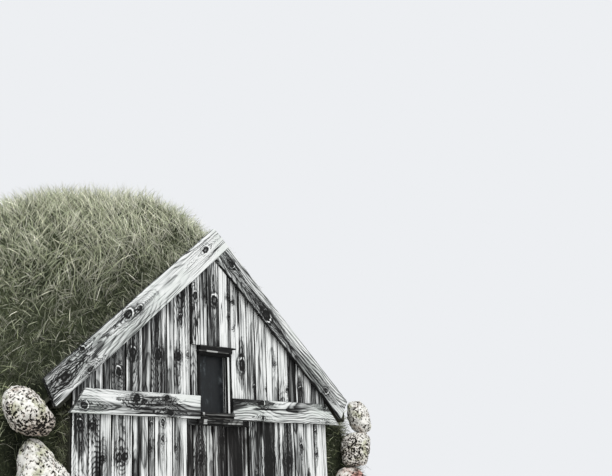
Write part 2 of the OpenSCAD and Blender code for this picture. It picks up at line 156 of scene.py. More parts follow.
# Dull daylight: the same from all round, with a weak, very soft key from the front left
light = {
    "around": "#eef2f6",
    "aroundStrength": 0.72,
    "backdrop": "#edeff2",
    "key": "#fffdf8",
    "keyStrength": 1.7,
    "keySoftness": 35,  # degrees
    "keyFrom": (-0.35, -0.8, 1.0),
    "floor": "#dcdbd7",  # matt and pale, so that it only takes the shadow
    "floorSize": 80,
}


def setLight(look):
    world = bpy.data.worlds.new("dull daylight")
    scene.world = world
    world.use_nodes = True
    world.node_tree.nodes.clear()
    add = partial(addNode, world.node_tree)
    path = add("LightPath", out=None)
    seen = add("Math MAXIMUM", (path["Is Camera Ray"], path["Is Glossy Ray"]))
    seen = add("Math MAXIMUM", (seen, path["Is Transmission Ray"]))
    around = add("Background", {"Color": look["around"], "Strength": look["aroundStrength"]})
    backdrop = add("Background", {"Color": look["backdrop"], "Strength": 1.0})
    mix = add("MixShader", (seen, around, backdrop))
    add("OutputWorld", {"Surface": mix}, out=None)
    data = bpy.data.lights.new("key", "SUN")
    data.energy = look["keyStrength"]
    data.angle = math.radians(look["keySoftness"])
    data.color = hexColor(look["key"])[:3]
    key = bpy.data.objects.new("key", data)
    key.rotation_euler = Vector(look["keyFrom"]).to_track_quat("Z", "Y").to_euler()
    scene.collection.objects.link(key)
    half = look["floorSize"] / 2
    corners = [(-half, -half, 0), (half, -half, 0), (half, half, 0), (-half, half, 0)]
    mesh = bpy.data.meshes.new("floor")
    mesh.from_pydata(corners, [], [(0, 1, 2, 3)])
    floor = bpy.data.objects.new("floor", mesh)
    scene.collection.objects.link(floor)
    material, add = newMaterial("pale studio floor")
    giveSurface(add, {"Base Color": look["floor"], "Roughness": 0.9})
    mesh.materials.append(material)
    scene.view_settings.view_transform = "Standard"


setCamera(viewpoint)
setLight(light)
print("camera, light and floor")


# Softwood left outdoors for decades, never painted: rain has washed the soft spring wood grey-white
# and left the heart of each board, its hard summer rings and its knots standing dark.
wallWood = {
    "tones": [(0.0, "#f8f9f9"), (0.2, "#e1e3e3"), (0.42, "#9c9e9e"), (0.62, "#525353"), (0.82, "#2a2a2b"),
              (1.0, "#131313")],
    "algae": "#b4c6b8",
    "algaeShare": 0.0,
    "ringWander": 0.085,  # metres that the heart of the log strays from the board's own line
    "knotRings": 2.6,  # rings that a knot pushes aside
    "knotArch": (0.85, 0, 0.24),  # how fast its push fades across and along the board
    "knotDark": 1.8,
    "ragged": 36 * mm,  # how far its outline and the arches stray
    "crescent": (1.28, 0.08, 0.26, 0.55),  # its middle, its half widths in radii, and how much it bleaches
    "waver": 1.1,  # rings that a growth ring wavers
    "summerWood": [(0.0, 0.1), (0.4, 0.0), (0.66, 0.5), (0.8, 1.0), (0.92, 0.9), (1.0, 0.1)],
    "streaks": (-0.18, 0.46),  # how far the fibre streaks lighten and darken it
    "checks": 0.8,  # how dark the drying checks are
    "flank": 0.8,  # how much darker a board's side faces are, down in the gaps: painted shade
    "roughness": 0.88,
    "relief": 0.7,
    "reliefDepth": 2.2 * mm,
    # Blotches a metre across, through and along the board, then octaves and roughness. One fibre streak
    # is about 5 mm wide, coarser than real fibre so that it shows.
    "patterns": {
        "stray": ((0.6, 0.6, 1.9), 1.0, 0.4),
        "waver": ((22, 22, 4.5), 2.0, 0.5),
        "patch": ((9, 9, 1.7), 2.0, 0.5),
        "streak": ((62, 62, 1.2), 4.0, 0.68),
        "fibre": ((200, 200, 7), 3.0, 0.5),
        "stain": ((5, 5, 1.1), 2.0, 0.5),
        "check": ((30, 30, 0.75), 1.0, 0.5),
        "jag": ((38, 38, 38), 2.0, 0.5),
        "algae": ((3.5, 3.5, 3.5), 3.0, 0.5),
    },
    # Darkness from a knot's middle, at 0, to three times its radius, at 1, where 0.5 leaves the wood as
    # it is: plug, black rim, pale ring, dark arc
    "knot": [(0.0, 0.74), (0.15, 0.63), (0.26, 1.0), (0.34, 0.85), (0.41, 0.52), (0.52, 0.52),
             (0.58, 0.66), (0.66, 0.58), (0.78, 0.5)],
}
knotNames = ("knotA", "knotB", "knotC", "knotD", "knotE", "knotF")


# Each knot pushes the rings aside into pointed arches along the board. Its own end grain is a dark
# plug with a black rim, and many have a bleached crescent on one side.
def addKnots(add, look, ragged, rings):
    plugs, flames = 0.0, 0.0
    middle, inside, outside, bleach = look["crescent"]
    for knot in knotNames:
        centre = add("Attribute", out="Vector", attribute_name=knot)
        _, size, level = add("SeparateXYZ", (centre,), out=None)
        offset = add("VectorMath SUBTRACT", (ragged, centre))
        folded = add("VectorMath ABSOLUTE", (offset,))
        away = add("VectorMath DOT_PRODUCT", (folded, look["knotArch"]), out="Value")
        away = add("Math DIVIDE", (away, size))
        push = add("MapRange", (away, 0.3, 3.6, look["knotRings"], 0.0), interpolation_type="SMOOTHSTEP")
        rings = add("Math SUBTRACT", (rings, push))
        flame = add("MapRange", (away, 0.6, 3.2, 1.0, 0.0))
        flames = add("Math MAXIMUM", (flames, flame))
        shrink = add("Math DIVIDE", (1.0, size))
        inner = add("VectorMath MULTIPLY", (offset, (1, 0, 0.75)))
        inner = add("VectorMath SCALE", {0: inner, "Scale": shrink})
        radius = add("VectorMath LENGTH", (inner,), out="Value")
        plug = add("Math DIVIDE", (radius, 3.0))
        plug = add("ValToRGB", (plug,), stops=look["knot"])
        plug = add("Math SUBTRACT", (plug, 0.5))
        plugs = add("Math ADD", (plugs, plug))
        turn = add("Math MULTIPLY", (level, 90.0))
        turn = add("Math SINE", (turn,))
        turn = add("Math MULTIPLY_ADD", (turn, 0.55, 0.45))
        above = add("SeparateXYZ", (inner,), out=2)
        above = add("Math MULTIPLY", (above, turn))
        above = add("MapRange", (above, 0.25, 1.1))
        crescent = add("Math SUBTRACT", (radius, middle))
        crescent = add("Math ABSOLUTE", (crescent,))
        crescent = add("MapRange", (crescent, inside, outside, 1.0, 0.0))
        crescent = add("Math MULTIPLY", (crescent, above))
        plugs = add("Math MULTIPLY_ADD", (crescent, -bleach, plugs))
    return rings, plugs, flames


def weatheredWood(name, look):
    material, add = newMaterial(name)
    grain, heart, tune, core = [add("Attribute", out="Vector", attribute_name=layer)
                                for layer in ("grain", "heart", "tune", "core")]
    seed, tone, contrast = add("SeparateXYZ", (tune,), out=None)
    coreRings, coreDark, lean = add("SeparateXYZ", (core,), out=None)
    pitch = add("SeparateXYZ", (heart,), out=2)
    _, inward, along = add("SeparateXYZ", (grain,), out=None)
    apart = add("VectorMath SCALE", {0: (7.13, 3.71, 13.37), "Scale": seed})
    spot = add("VectorMath ADD", (grain, apart))
    shown, tints = {}, {}
    for pattern, (scale, detail, roughness) in look["patterns"].items():
        stretched = add("VectorMath MULTIPLY", (spot, scale))
        shown[pattern], tints[pattern] = add("TexNoise", {
            "Vector": stretched, "Scale": 1.0, "Detail": detail, "Roughness": roughness}, out=None)

    # Growth rings are shells round the heart of the log, which strays along the board
    wander = look["ringWander"]
    stray = add("VectorMath MULTIPLY_ADD", (tints["stray"], (2 * wander,) * 3, (-wander,) * 3))
    place = add("VectorMath ADD", (grain, stray))
    place = add("VectorMath SUBTRACT", (place, heart))
    place = add("VectorMath MULTIPLY", (place, (1, 1, 0)))
    rings = add("VectorMath LENGTH", (place,), out="Value")
    rings = add("Math DIVIDE", (rings, pitch))
    jag = add("VectorMath MULTIPLY_ADD", (tints["jag"], (look["ragged"],) * 3, (-look["ragged"] / 2,) * 3))
    ragged = add("VectorMath ADD", (grain, jag))
    rings, plugs, flames = addKnots(add, look, ragged, rings)
    inCore = add("Math SUBTRACT", (rings, coreRings))
    inCore = add("MapRange", (inCore, -0.5, 0.9, 1.0, 0.0), interpolation_type="SMOOTHSTEP")
    ring = add("Math MULTIPLY_ADD", (shown["waver"], look["waver"], rings))
    ring = add("Math MULTIPLY_ADD", (along, lean, ring))
    ring = add("Math FRACT", (ring,))
    summer = add("ValToRGB", (ring,), stops=look["summerWood"])

    # Rings stand out in some stretches and fade in others
    clear = add("MapRange", (shown["patch"], 0.36, 0.62, 0.3, 1.0))
    clear = add("Math MULTIPLY", (clear, contrast))
    clear = add("Math MULTIPLY_ADD", (flames, 0.45, clear))
    summer = add("Math MULTIPLY", (summer, clear))
    strength = add("Math MULTIPLY_ADD", (inCore, 0.12, 0.42))
    stain = add("MapRange", (shown["stain"], 0.3, 0.7, -0.14, 0.16))
    streak = add("MapRange", (shown["streak"], 0.43, 0.61, *look["streaks"]))
    fibre = add("MapRange", (shown["fibre"], 0.35, 0.7, -0.1, 0.14))
    # A board's side faces, down in the gaps between boards, are darkened: painted shade
    flank = add("MapRange", (inward, -0.0045, -0.002, look["flank"], 0.0))

    # Drying checks: hair cracks that run with the grain and stop and start
    crack = add("Math SUBTRACT", (shown["check"], 0.5))
    crack = add("Math ABSOLUTE", (crack,))
    crack = add("MapRange", (crack, 0.008, 0.022, 1.0, 0.0))
    stretches = add("MapRange", (shown["patch"], 0.45, 0.56))
    crack = add("Math MULTIPLY", (crack, stretches))
    darkness = add("Math ADD", (stain, tone))
    for part, share in ((inCore, coreDark), (summer, strength), (streak, 1.0), (fibre, 1.0),
                        (crack, look["checks"]), (plugs, look["knotDark"]), (flank, 1.0)):
        darkness = add("Math MULTIPLY_ADD", (part, share, darkness))
    color = add("ValToRGB", (darkness,), stops=look["tones"])
    if look["algaeShare"] > 0:
        green = add("MapRange", (shown["algae"], 0.45, 0.7, 0.0, look["algaeShare"]))
        color = add("Mix", {0: green, 6: color, 7: look["algae"]}, out=2, data_type="RGBA",
                    blend_type="MULTIPLY")

    # Hard rings and fibres stand proud, cracks are cut in
    height = add("Math MULTIPLY_ADD", (summer, 0.45, shown["fibre"]))
    height = add("Math MULTIPLY_ADD", (crack, -1.6, height))
    giveSurface(add, {"Base Color": color, "Roughness": look["roughness"], "Specular IOR Level": 0.3},
                height, look["relief"], look["reliefDepth"])
    return material


# The trim is cut from knottier stock and is a little green with algae. Timber round the window is
# darker, partly damp and partly painted shade, and the door is darker as painted shade.
boardWood = weatheredWood("silvered pine wall boards", wallWood)
trimWood = weatheredWood("silvered pine trim boards", {
    **wallWood, "ringWander": 0.11, "knotRings": 3.6, "waver": 1.4, "algaeShare": 0.3, "flank": 0.35,
    "streaks": (-0.1, 0.22)})
# Darker tones for the timber round the window: partly damp, partly painted shade
dampAndShadedWood = weatheredWood("dark pine, damp and shaded", {
    **wallWood, "tones": [(0.0, "#b5b6b5"), (0.3, "#858685"), (0.55, "#4c4c4b"), (0.8, "#272726"),
                          (1.0, "#121212")]})
# Darker tones than the wall boards': painted shade of the door's recess under the sill
doorWood = weatheredWood("door pine darkened with painted shade", {
    **wallWood, "tones": [(0.0, "#e2e4e3"), (0.2, "#b0b1b1"), (0.42, "#6d6d6d"), (0.62, "#403f3f"),
                          (0.82, "#252424"), (1.0, "#131212")]})
print("weathered wood")


# Planks. A place gives where a plank's own axes lie: u across it, w along it, out towards the viewer.
def placeOf(origin, along, out=(0, -1, 0)):
    along, out = Vector(along).normalized(), Vector(out).normalized()
    return {"origin": Vector(origin), "along": along, "across": along.cross(out), "out": out}


def toPlank(place, point):
    away = Vector(point) - place["origin"]
    return away.dot(place["across"]), away.dot(place["along"])


plankShape = {
    "thickness": 25 * mm,
    "bevel": 3.5 * mm,
    "stationStep": 50 * mm,
    "frontStep": 24 * mm,
    "edgeWave": 1.6 * mm,
    "faceWave": 1.2 * mm,
    "ragged": 5 * mm,
    "splitWidth": 2.2 * mm,
    "splitDepth": 9 * mm,
    "proud": 0.0,
    "tone": 0.1,
    "contrast": 0.8,
    "ringPitch": 16 * mm,  # true rings are 2 to 4 mm apart, drawn coarser so that they show
    "heart": None,  # where the dark heartwood lies across the plank, and half its width
    "heartDark": 0.42,
    "lean": 3.0,  # rings crossed in a metre along the plank, which draws nested arcs
    "knots": (),
    "splits": (),
}


def newPlanks(seed):
    return {"verts": [], "faces": [], "grain": [], "heart": [], "tune": [], "core": [],
            "knots": [[] for _ in knotNames], "count": 0, "seed": seed,
            "rng": np.random.default_rng(seed)}


def always(value):
    return value if callable(value) else (lambda u: value)


def between(value, share):  # a pair is what a plank has at its low end and at its high end
    return value[0] + (value[1] - value[0]) * share if isinstance(value, tuple) else value


# Points round a plank: u, depth, and the split that a point is on, with its side of it
def plankRing(left, right, look):
    width, bevel, back = right - left, min(look["bevel"], (right - left) / 4), -look["thickness"]
    strips = max(3, round(width / look["frontStep"]))
    front = [(left + bevel + (width - 2 * bevel) * i / strips, None) for i in range(strips + 1)]
    for split in look["splits"]:
        nearest = min(range(1, strips), key=lambda i: abs(front[i][0] - split[0]))
        front[nearest] = (split[0], split)
    ring = []
    for u, split in front:
        ring += [(u, 0, split, side) for side in (-1, 0, 1)] if split else [(u, 0, None, 0)]
    behind = [(right, -bevel), (right, back + bevel), (right - bevel, back), (left + bevel, back),
              (left, back + bevel), (left, -bevel)]
    return ring + [(u, v, None, 0) for u, v in behind]


def addPlank(planks, place, left, right, low, high, **look):
    look = {**plankShape, **look}
    rng = planks["rng"]
    planks["count"] += 1
    seed = planks["seed"] * 3.17 + planks["count"] * 1.37
    low, high = always(low), always(high)
    width, middle = right - left, (left + right) / 2
    stations = max(4, round((high(middle) - low(middle)) / look["stationStep"]))
    ring = plankRing(left, right, look)
    count, start, shares = len(ring), len(planks["verts"]), []
    for j in range(stations + 1):
        for u, v, split, side in ring:
            w = low(u) + (high(u) - low(u)) * j / stations
            edge = 1 if u > middle else -1
            reach = min(1.0, abs(u - middle) / (width / 2))
            shifted = u + look["edgeWave"] * reach ** 2 * noise.noise(Vector((edge * 5.3, seed, w * 5)))
            sunk = v
            if v > -look["thickness"] / 2:
                sunk += look["faceWave"] * noise.noise(Vector((u * 9, seed, w * 2.2)))
            if split:
                centre, begin, end = split
                share = (w - begin) / max(end - begin, 1e-6)
                gape = math.sin(math.pi * share) ** 0.5 if 0 < share < 1 else 0.0
                shifted += 4 * mm * noise.noise(Vector((seed, centre * 9, w * 2.5)))
                shifted += side * (0.15 * mm + look["splitWidth"] * gape)
                sunk -= (0.1 * mm + look["splitDepth"] * gape) * (side == 0)
            if j in (0, stations):
                w += look["ragged"] * noise.noise(Vector((u * 45, seed, 3.1 * j))) * (1 if j == 0 else -1)
            planks["verts"].append(place["origin"] + place["across"] * shifted + place["along"] * w
                                   + place["out"] * (sunk + look["proud"]))
            planks["grain"].append((u, v, w))
            shares.append(j / stations)
    for j in range(stations):
        for i in range(count):
            a, b = start + j * count + i, start + j * count + (i + 1) % count
            planks["faces"].append((a, b, b + count, a + count))
    planks["faces"].append(tuple(start + i for i in reversed(range(count))))
    planks["faces"].append(tuple(start + stations * count + i for i in range(count)))
    made = len(shares)
    centre, half = look["heart"] or (middle + width * rng.uniform(-0.25, 0.25),
                                     width * rng.uniform(0.0, 0.2))
    depth = rng.uniform(0.03, 0.07)
    pitch = look["ringPitch"] * rng.uniform(0.85, 1.2)
    planks["heart"] += [(centre, -depth, pitch)] * made
    edge = math.hypot(depth, half) / pitch
    planks["core"] += [(edge, between(look["heartDark"], share), look["lean"]) for share in shares]
    planks["tune"] += [(seed, between(look["tone"], share), between(look["contrast"], share))
                       for share in shares]
    for index, rows in enumerate(planks["knots"]):
        rows += [look["knots"][index] if index < len(look["knots"]) else (0, 0.001, -99)] * made


def finishPlanks(planks, name, node, material, body="house"):
    layers = {layer: planks[layer] for layer in ("grain", "heart", "tune", "core")}
    layers.update(zip(knotNames, planks["knots"]))
    mesh = newMesh(name, planks["verts"], planks["faces"], layers)
    mesh.set_sharp_from_angle(angle=math.radians(38))
    finishPiece(mesh, material, node, body)


def addBeam(planks, low, high, **look):  # a board that lies crosswise and fills a box
    low, high = Vector(low), Vector(high)
    place = placeOf((0, low.y, high.z), (1, 0, 0))
    addPlank(planks, place, 0, high.z - low.z, low.x, high.x, thickness=high.y - low.y, **look)


def knotsOn(place, spots):  # knots given as x, z and radius in mm, as u, radius and w on the plank
    made = []
    for x, z, size in spots:
        u, w = toPlank(place, (x * mm, place["origin"].y, z * mm))
        made.append((u, 1.25 * size * mm, w))
    return made


# The gable's lines, read off the frame
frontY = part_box("boards_lower_left")[0].y
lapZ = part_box("boards_lower_left")[1].z
windowLow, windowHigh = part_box("window_sill")[0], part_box("window_head")[1]
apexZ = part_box("bargeboard_left")[1].z
eaveCorner = min((v.co for v in nodes["bargeboard_left"].data.vertices),
                 key=lambda co: co.x - 0.01 * co.z)
roofSlope = (apexZ - eaveCorner.z) / -eaveCorner.x
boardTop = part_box("boards_gable_left")[1].z
upright = placeOf((0, frontY, 0), (0, 0, 1))


def roofLine(x):  # upper cut of the wall boards
    return boardTop - roofSlope * abs(x)


# A board's edges from the ridge in mm, its tone from 0, bleached, to 1, dark, or at its low and its high
# end, and how clear its grain is. Heart is where the dark heartwood lies and half its width; knots are
# x, z and radius.
def board(left, right, tone, contrast=0.8, heart=None, **more):
    return {"edges": (left, right), "tone": tone, "contrast": contrast, "heart": heart, **more}


# Boards from left to right
lowerBoards = {
    "left": [
        board(-1298, -1164, -0.04, 1.1, (-1198, 34), lean=26, heartDark=0.5,
              knots=[(-1236, 1675, 17), (-1262, 1230, 12), (-1205, 900, 18)]),
        board(-1160, -1070, -0.06, 1.1, (-1100, 28), lean=24, heartDark=0.5,
              knots=[(-1135, 1668, 12), (-1110, 1050, 14)]),
        board(-1061, -974, -0.14, 0.3, (-1010, 0), knots=[(-1046, 1447, 13)]),
        board(-968, -790, (-0.45, 0.18), 0.9, (-888, 0), lean=-5, heartDark=0.15,
              knots=[(-906, 1452, 21), (-851, 1462, 18), (-900, 820, 20)]),
        board(-784, -730, 0.28, 0.7, (-757, 10)),
        board(-725, -643, -0.1, 0.6, (-712, 12), knots=[(-668, 1180, 9)]),
        board(-637, -589, -0.14, 0.5, (-612, 4),
              knots=[(-613, 1700, 7), (-620, 1530, 6), (-618, 1220, 7)]),
        board(-582, -420, -0.12, 1.0, (-506, 14), lean=9,
              knots=[(-508, 1706, 13), (-508, 1592, 12), (-490, 1090, 16)]),
        board(-413, -275, -0.14, 0.5, (-385, 6), knots=[(-383, 1530, 7)]),
    ],
    "right": [
        board(374, 507, 0.12, 0.9, (450, 46), knots=[(466, 1240, 15)]),
        board(514, 716, 0.13, 1.1, (606, 72), lean=10, heartDark=0.5,
              knots=[(604, 1440, 22), (640, 700, 20)]),
        board(722, 891, 0.09, 1.1, (812, 58), lean=10, heartDark=0.5,
              knots=[(818, 1444, 21), (770, 1010, 16)]),
        board(898, 1012, 0.12, 1.0, (948, 34), lean=-7, knots=[(985, 1560, 11)]),
        board(1019, 1136, -0.06, 0.5, (1075, 0), knots=[(1060, 1320, 9)]),
        board(1143, 1298, -0.04, 0.7, (1168, 10),
              knots=[(1168, 1500, 8), (1166, 1690, 7), (1240, 960, 15)]),
    ],
}
upperBoards = {
    "left": [
        board(-1298, -1118, 0.4, 0.7),
        board(-1112, -1049, -0.02, 0.4, (-1080, 0)),
        board(-1043, -972, -0.02, 0.4, (-1008, 0)),
        board(-966, -849, 0.15, 1.2, (-905, 42), lean=-18, heartDark=0.3, knots=[(-912, 2055, 16)]),
        board(-843, -698, 0.06, 1.1, (-778, 48), lean=-8, heartDark=0.4, knots=[(-786, 2200, 21)]),
        board(-692, -618, 0.32, 0.9, (-650, 14)),
        board(-612, -470, 0.08, 1.1, (-546, 54), lean=-8, heartDark=0.46, knots=[(-547, 2206, 21)]),
        board(-464, -400, -0.06, 0.4, (-430, 0)),
        board(-393, -238, -0.02, 1.1, (-330, 14), lean=-9,
              knots=[(-356, 2204, 18), (-262, 2230, 10), (-330, 2520, 8)]),
        board(-232, -168, -0.14, 0.9, (-209, 11), heartDark=0.35),
    ],
    "right": [
        board(168, 190, 0.5, 0.5),
        board(195, 370, -0.06, 0.5, (305, 4), lean=4,
              knots=[(310, 2196, 24), (214, 2690, 9), (222, 2480, 8)]),
        board(376, 461, -0.02, 0.5, (440, 4), knots=[(444, 2030, 8)]),
        board(468, 587, -0.08, 0.4, (520, 0), knots=[(575, 2010, 6)]),
        board(593, 728, -0.04, 0.6, (660, 4), knots=[(690, 2225, 8)]),
        board(735, 847, -0.02, 0.8, (800, 10), knots=[(832, 2030, 9)]),
        board(854, 937, 0.12, 0.9, (892, 14)),
        board(943, 1040, 0.1, 0.9, (985, 22), knots=[(990, 2040, 9)]),
        board(1047, 1134, -0.04, 0.5, (1090, 0)),
        board(1141, 1298, 0.42, 0.7),
    ],
}
windowBoards = {"left": board(-160, -4, 0.2), "right": board(1, 160, 0.2)}
panelBoards = [
    board(-238, -154, 0.04, 1.1, (-205, 18), heartDark=0.15, knots=[(-198, 2690, 17)]),
    board(-150, -76, -0.02, 0.6, (-112, 6), knots=[(-100, 2700, 8)]),
    board(-71, 45, 0.34, 0.5, (-20, 30), lean=-7, heartDark=0.12, knots=[(4, 2682, 22)]),
    board(51, 168, -0.08, 0.5, (146, 8), knots=[(146, 2720, 9), (152, 2560, 8)]),
]
shrunkBoards = {
    "chink": 2 * mm,  # taken off each side of a board
    "proud": (-3.0, 0.5),  # how far a board's face stands out, in mm
    "splitShare": 0.5,  # how many boards have split
    # Where a split lies across the board, where it starts along it, and its length, as shares
    "splitAcross": (0.3, 0.7),
    "splitStart": (0.0, 0.75),
    "splitLength": (0.15, 0.4),
}


def addBoards(planks, rows, low, high, place=upright, **shape):
    rng, dry = planks["rng"], shrunkBoards
    for row in rows:
        left, right = row["edges"][0] * mm + dry["chink"], row["edges"][1] * mm - dry["chink"]
        splits = []
        if rng.random() < dry["splitShare"]:
            centre = rng.uniform(*[left + share * (right - left) for share in dry["splitAcross"]])
            begin, length = rng.uniform(*dry["splitStart"]), rng.uniform(*dry["splitLength"])
            base, top = always(low)(centre), always(high)(centre)
            splits.append((centre, base + (top - base) * begin, base + (top - base) * (begin + length)))
        look = {**row, "knots": knotsOn(place, row.get("knots", ())), "splits": splits,
                "proud": rng.uniform(*dry["proud"]) * mm, **shape}
        if row["heart"]:
            look["heart"] = (row["heart"][0] * mm, row["heart"][1] * mm)
        addPlank(planks, place, left, right, low, high, **look)


for number, side in enumerate(("left", "right")):
    planks = newPlanks(11 + number)
    addBoards(planks, lowerBoards[side], 4 * mm, lapZ)
    finishPlanks(planks, "wall_boards_lower_" + side, "boards_lower_" + side, boardWood)
    planks = newPlanks(21 + number)
    addBoards(planks, upperBoards[side], lapZ, roofLine)
    addBoards(planks, [windowBoards[side]], windowHigh.z, roofLine)
    finishPlanks(planks, "wall_boards_gable_" + side, "boards_gable_" + side, boardWood)

low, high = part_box("boards_over_door")
planks = newPlanks(31)
# Tone 0.4, darker than the boards round it: painted shade under the band
addBeam(planks, low, (high.x, high.y, windowLow.z - 1 * mm), tone=0.4)
finishPlanks(planks, "board_over_door", "boards_over_door", boardWood)

# The raised panel over the window is cut to the bargeboards' lower edges
panelLow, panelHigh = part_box("panel_over_window")
planks = newPlanks(41)
addBoards(planks, panelBoards, panelLow.z, lambda x: panelHigh.z - roofSlope * abs(x) - 1 * mm,
          placeOf((0, panelLow.y, 0), (0, 0, 1)), thickness=panelHigh.y - panelLow.y - 1 * mm)
finishPlanks(planks, "panel_boards", "panel_over_window", boardWood)
print("wall boards")


# Bargeboards and band boards, each one board with its cut ends. Heart is how far the dark heartwood
# lies from the upper edge and half its width.
trimBoards = {
    "bargeboard_left": {
        "along": (1, 0, roofSlope), "tone": (0.3, -0.14), "contrast": (1.4, 0.6),
        "heartDark": (0.1, 0.14), "ringPitch": 34 * mm, "heart": (88, 44), "lean": 6,
        "knots": [(-98, 3071, 20), (-863, 2468, 22), (-1261, 2179, 13), (-1192, 2039, 12),
                  (-765, 2520, 15), (-1395, 1975, 20)],
    },
    "bargeboard_right": {
        "along": (1, 0, -roofSlope), "tone": (0.1, 0.22), "contrast": (1.5, 1.2),
        "heartDark": (0.36, 0.2), "ringPitch": 20 * mm, "heart": (135, 36), "lean": -5,
        "knots": [(178, 2995, 16), (567, 2618, 26), (1273, 2035, 14)],
    },
    "band_left": {
        "along": (1, 0, 0), "tone": 0.03, "contrast": 1.4,
        "heartDark": (0.2, 0.5), "ringPitch": 18 * mm, "heart": (120, 26), "lean": 3,
        "knots": [(-1225, 1800, 17), (-771, 1868, 18), (-494, 1885, 13), (-457, 1775, 12)],
    },
    "band_right": {
        "along": (1, 0, 0), "tone": (0.1, 0.0), "contrast": 1.4,
        "heartDark": (0.6, 0.36), "ringPitch": 18 * mm, "heart": (44, 40), "lean": -4,
        "knots": [(498, 1896, 14), (505, 1768, 9), (1270, 1900, 12), (1290, 1765, 8)],
    },
}
trimShape = {"stationStep": 40 * mm, "frontStep": 16 * mm, "edgeWave": 2.5 * mm, "bevel": 4 * mm,
             "faceWave": 2 * mm, "ragged": 6 * mm}


def cutsOf(node, place):  # edges of a four-cornered piece, and the cuts at its two ends
    corners = [v.co for v in nodes[node].data.vertices]
    front = min(corner.y for corner in corners)
    found = sorted({tuple(round(n, 4) for n in toPlank(place, corner))
                    for corner in corners if corner.y < front + mm})
    left, right = found[0][0], found[-1][0]
    pairs = [sorted(w for u, w in found if abs(u - edge) < 2 * mm) for edge in (left, right)]

    def cut(end):
        return lambda u: pairs[0][end] + (pairs[1][end] - pairs[0][end]) * (u - left) / (right - left)
    return left, right, cut(0), cut(-1)


for number, (node, look) in enumerate(trimBoards.items()):
    low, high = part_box(node)
    place = placeOf((0, low.y, apexZ if "barge" in node else high.z), look["along"])
    left, right, cutLow, cutHigh = cutsOf(node, place)
    heart = (left + look["heart"][0] * mm, look["heart"][1] * mm)
    planks = newPlanks(51 + number)
    addPlank(planks, place, left, right, cutLow, cutHigh, **{
        **look, **trimShape, "thickness": high.y - low.y, "heart": heart,
        "knots": knotsOn(place, look["knots"])})
    finishPlanks(planks, "weathered_" + node, node, trimWood)
print("bargeboards and band")


# Window: a board with a drip lath, head and jambs, and two worn layers of sill. A splinter is given by
# its left and right ends and its tone, and the ledge's also by how many mm it hangs down.
windowTimber = {
    "lath": (9 * mm, 35 * mm),  # how high the drip lath is, and how far its right end is broken off
    # The pale middle splinter, at tone -0.3, is a painted highlight along the board's lower edge
    "hoodSplinters": [(-0.19, -0.106, 0.42), (-0.104, 0.011, -0.3), (0.014, 0.13, 0.5)],
    "bleachedEdge": 19 * mm,  # of the right jamb
    "bead": (24 * mm, 50 * mm),  # how deep in the frame the pale bead starts and ends
    "bleachedSill": 21 * mm,
    "ledgeSplinters": [(-0.14, -0.104, 34, -0.3), (-0.1, -0.02, 15, 0.2), (-0.01, 0.06, 12, 0.6),
                       (0.064, 0.137, 16, 0.2)],
}


def buildHood(look):
    low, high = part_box("window_hood")
    lathHigh, broken = look["lath"]
    planks = newPlanks(61)
    # Dark tones on the board and its lath: painted shade on their faces
    addBeam(planks, low, (panelHigh.x, high.y, high.z), tone=0.6, bevel=3 * mm, edgeWave=3 * mm)
    addBeam(planks, (low.x, low.y, high.z - lathHigh), high - Vector((broken, 0, 0)), tone=0.7,
            bevel=2 * mm, proud=3 * mm, ragged=12 * mm)
    # The pale splinter is a painted highlight
    for left, right, tone in look["hoodSplinters"]:
        addBeam(planks, (left, low.y, low.z), (right, high.y, low.z + 11 * mm), tone=tone, contrast=0.4,
                heartDark=0.1, bevel=2 * mm, proud=4 * mm, ragged=14 * mm)
    finishPlanks(planks, "worn_board_over_window", "window_hood", dampAndShadedWood)


def buildWindowFrame(look):
    low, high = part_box("window_head")
    planks = newPlanks(62)
    # Near-black tone on the head: painted shade under the board over the window
    addBeam(planks, low, high, tone=0.95, bevel=2 * mm)
    finishPlanks(planks, "worn_window_head", "window_head", trimWood)
    low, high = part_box("window_jambs")
    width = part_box("window_pane")[0].x - low.x
    strip = look["bleachedEdge"]
    planks = newPlanks(63)
    # Near-black tones on the left jamb and the inner part of the right jamb: painted shade in the window's
    # recess
    for left, right, tone in ((low.x, low.x + width, 0.9), (high.x - width, high.x - strip, 0.95),
                              (high.x - strip, high.x, -0.4)):
        addPlank(planks, placeOf((0, low.y, 0), (0, 0, 1)), left, right, low.z, high.z, tone=tone,
                 thickness=high.y - low.y, bevel=2 * mm, frontStep=6 * mm, heart=(left, 0))
    bead = placeOf((high.x - width, low.y, 0), (0, 0, 1), (-1, 0, 0))
    near, far = look["bead"]
    addPlank(planks, bead, -far, -near, low.z, high.z, tone=0.36, contrast=0.2, heartDark=0.05,
             thickness=6 * mm, proud=5 * mm, bevel=1.5 * mm, frontStep=8 * mm)
    finishPlanks(planks, "worn_window_jambs", "window_jambs", trimWood)


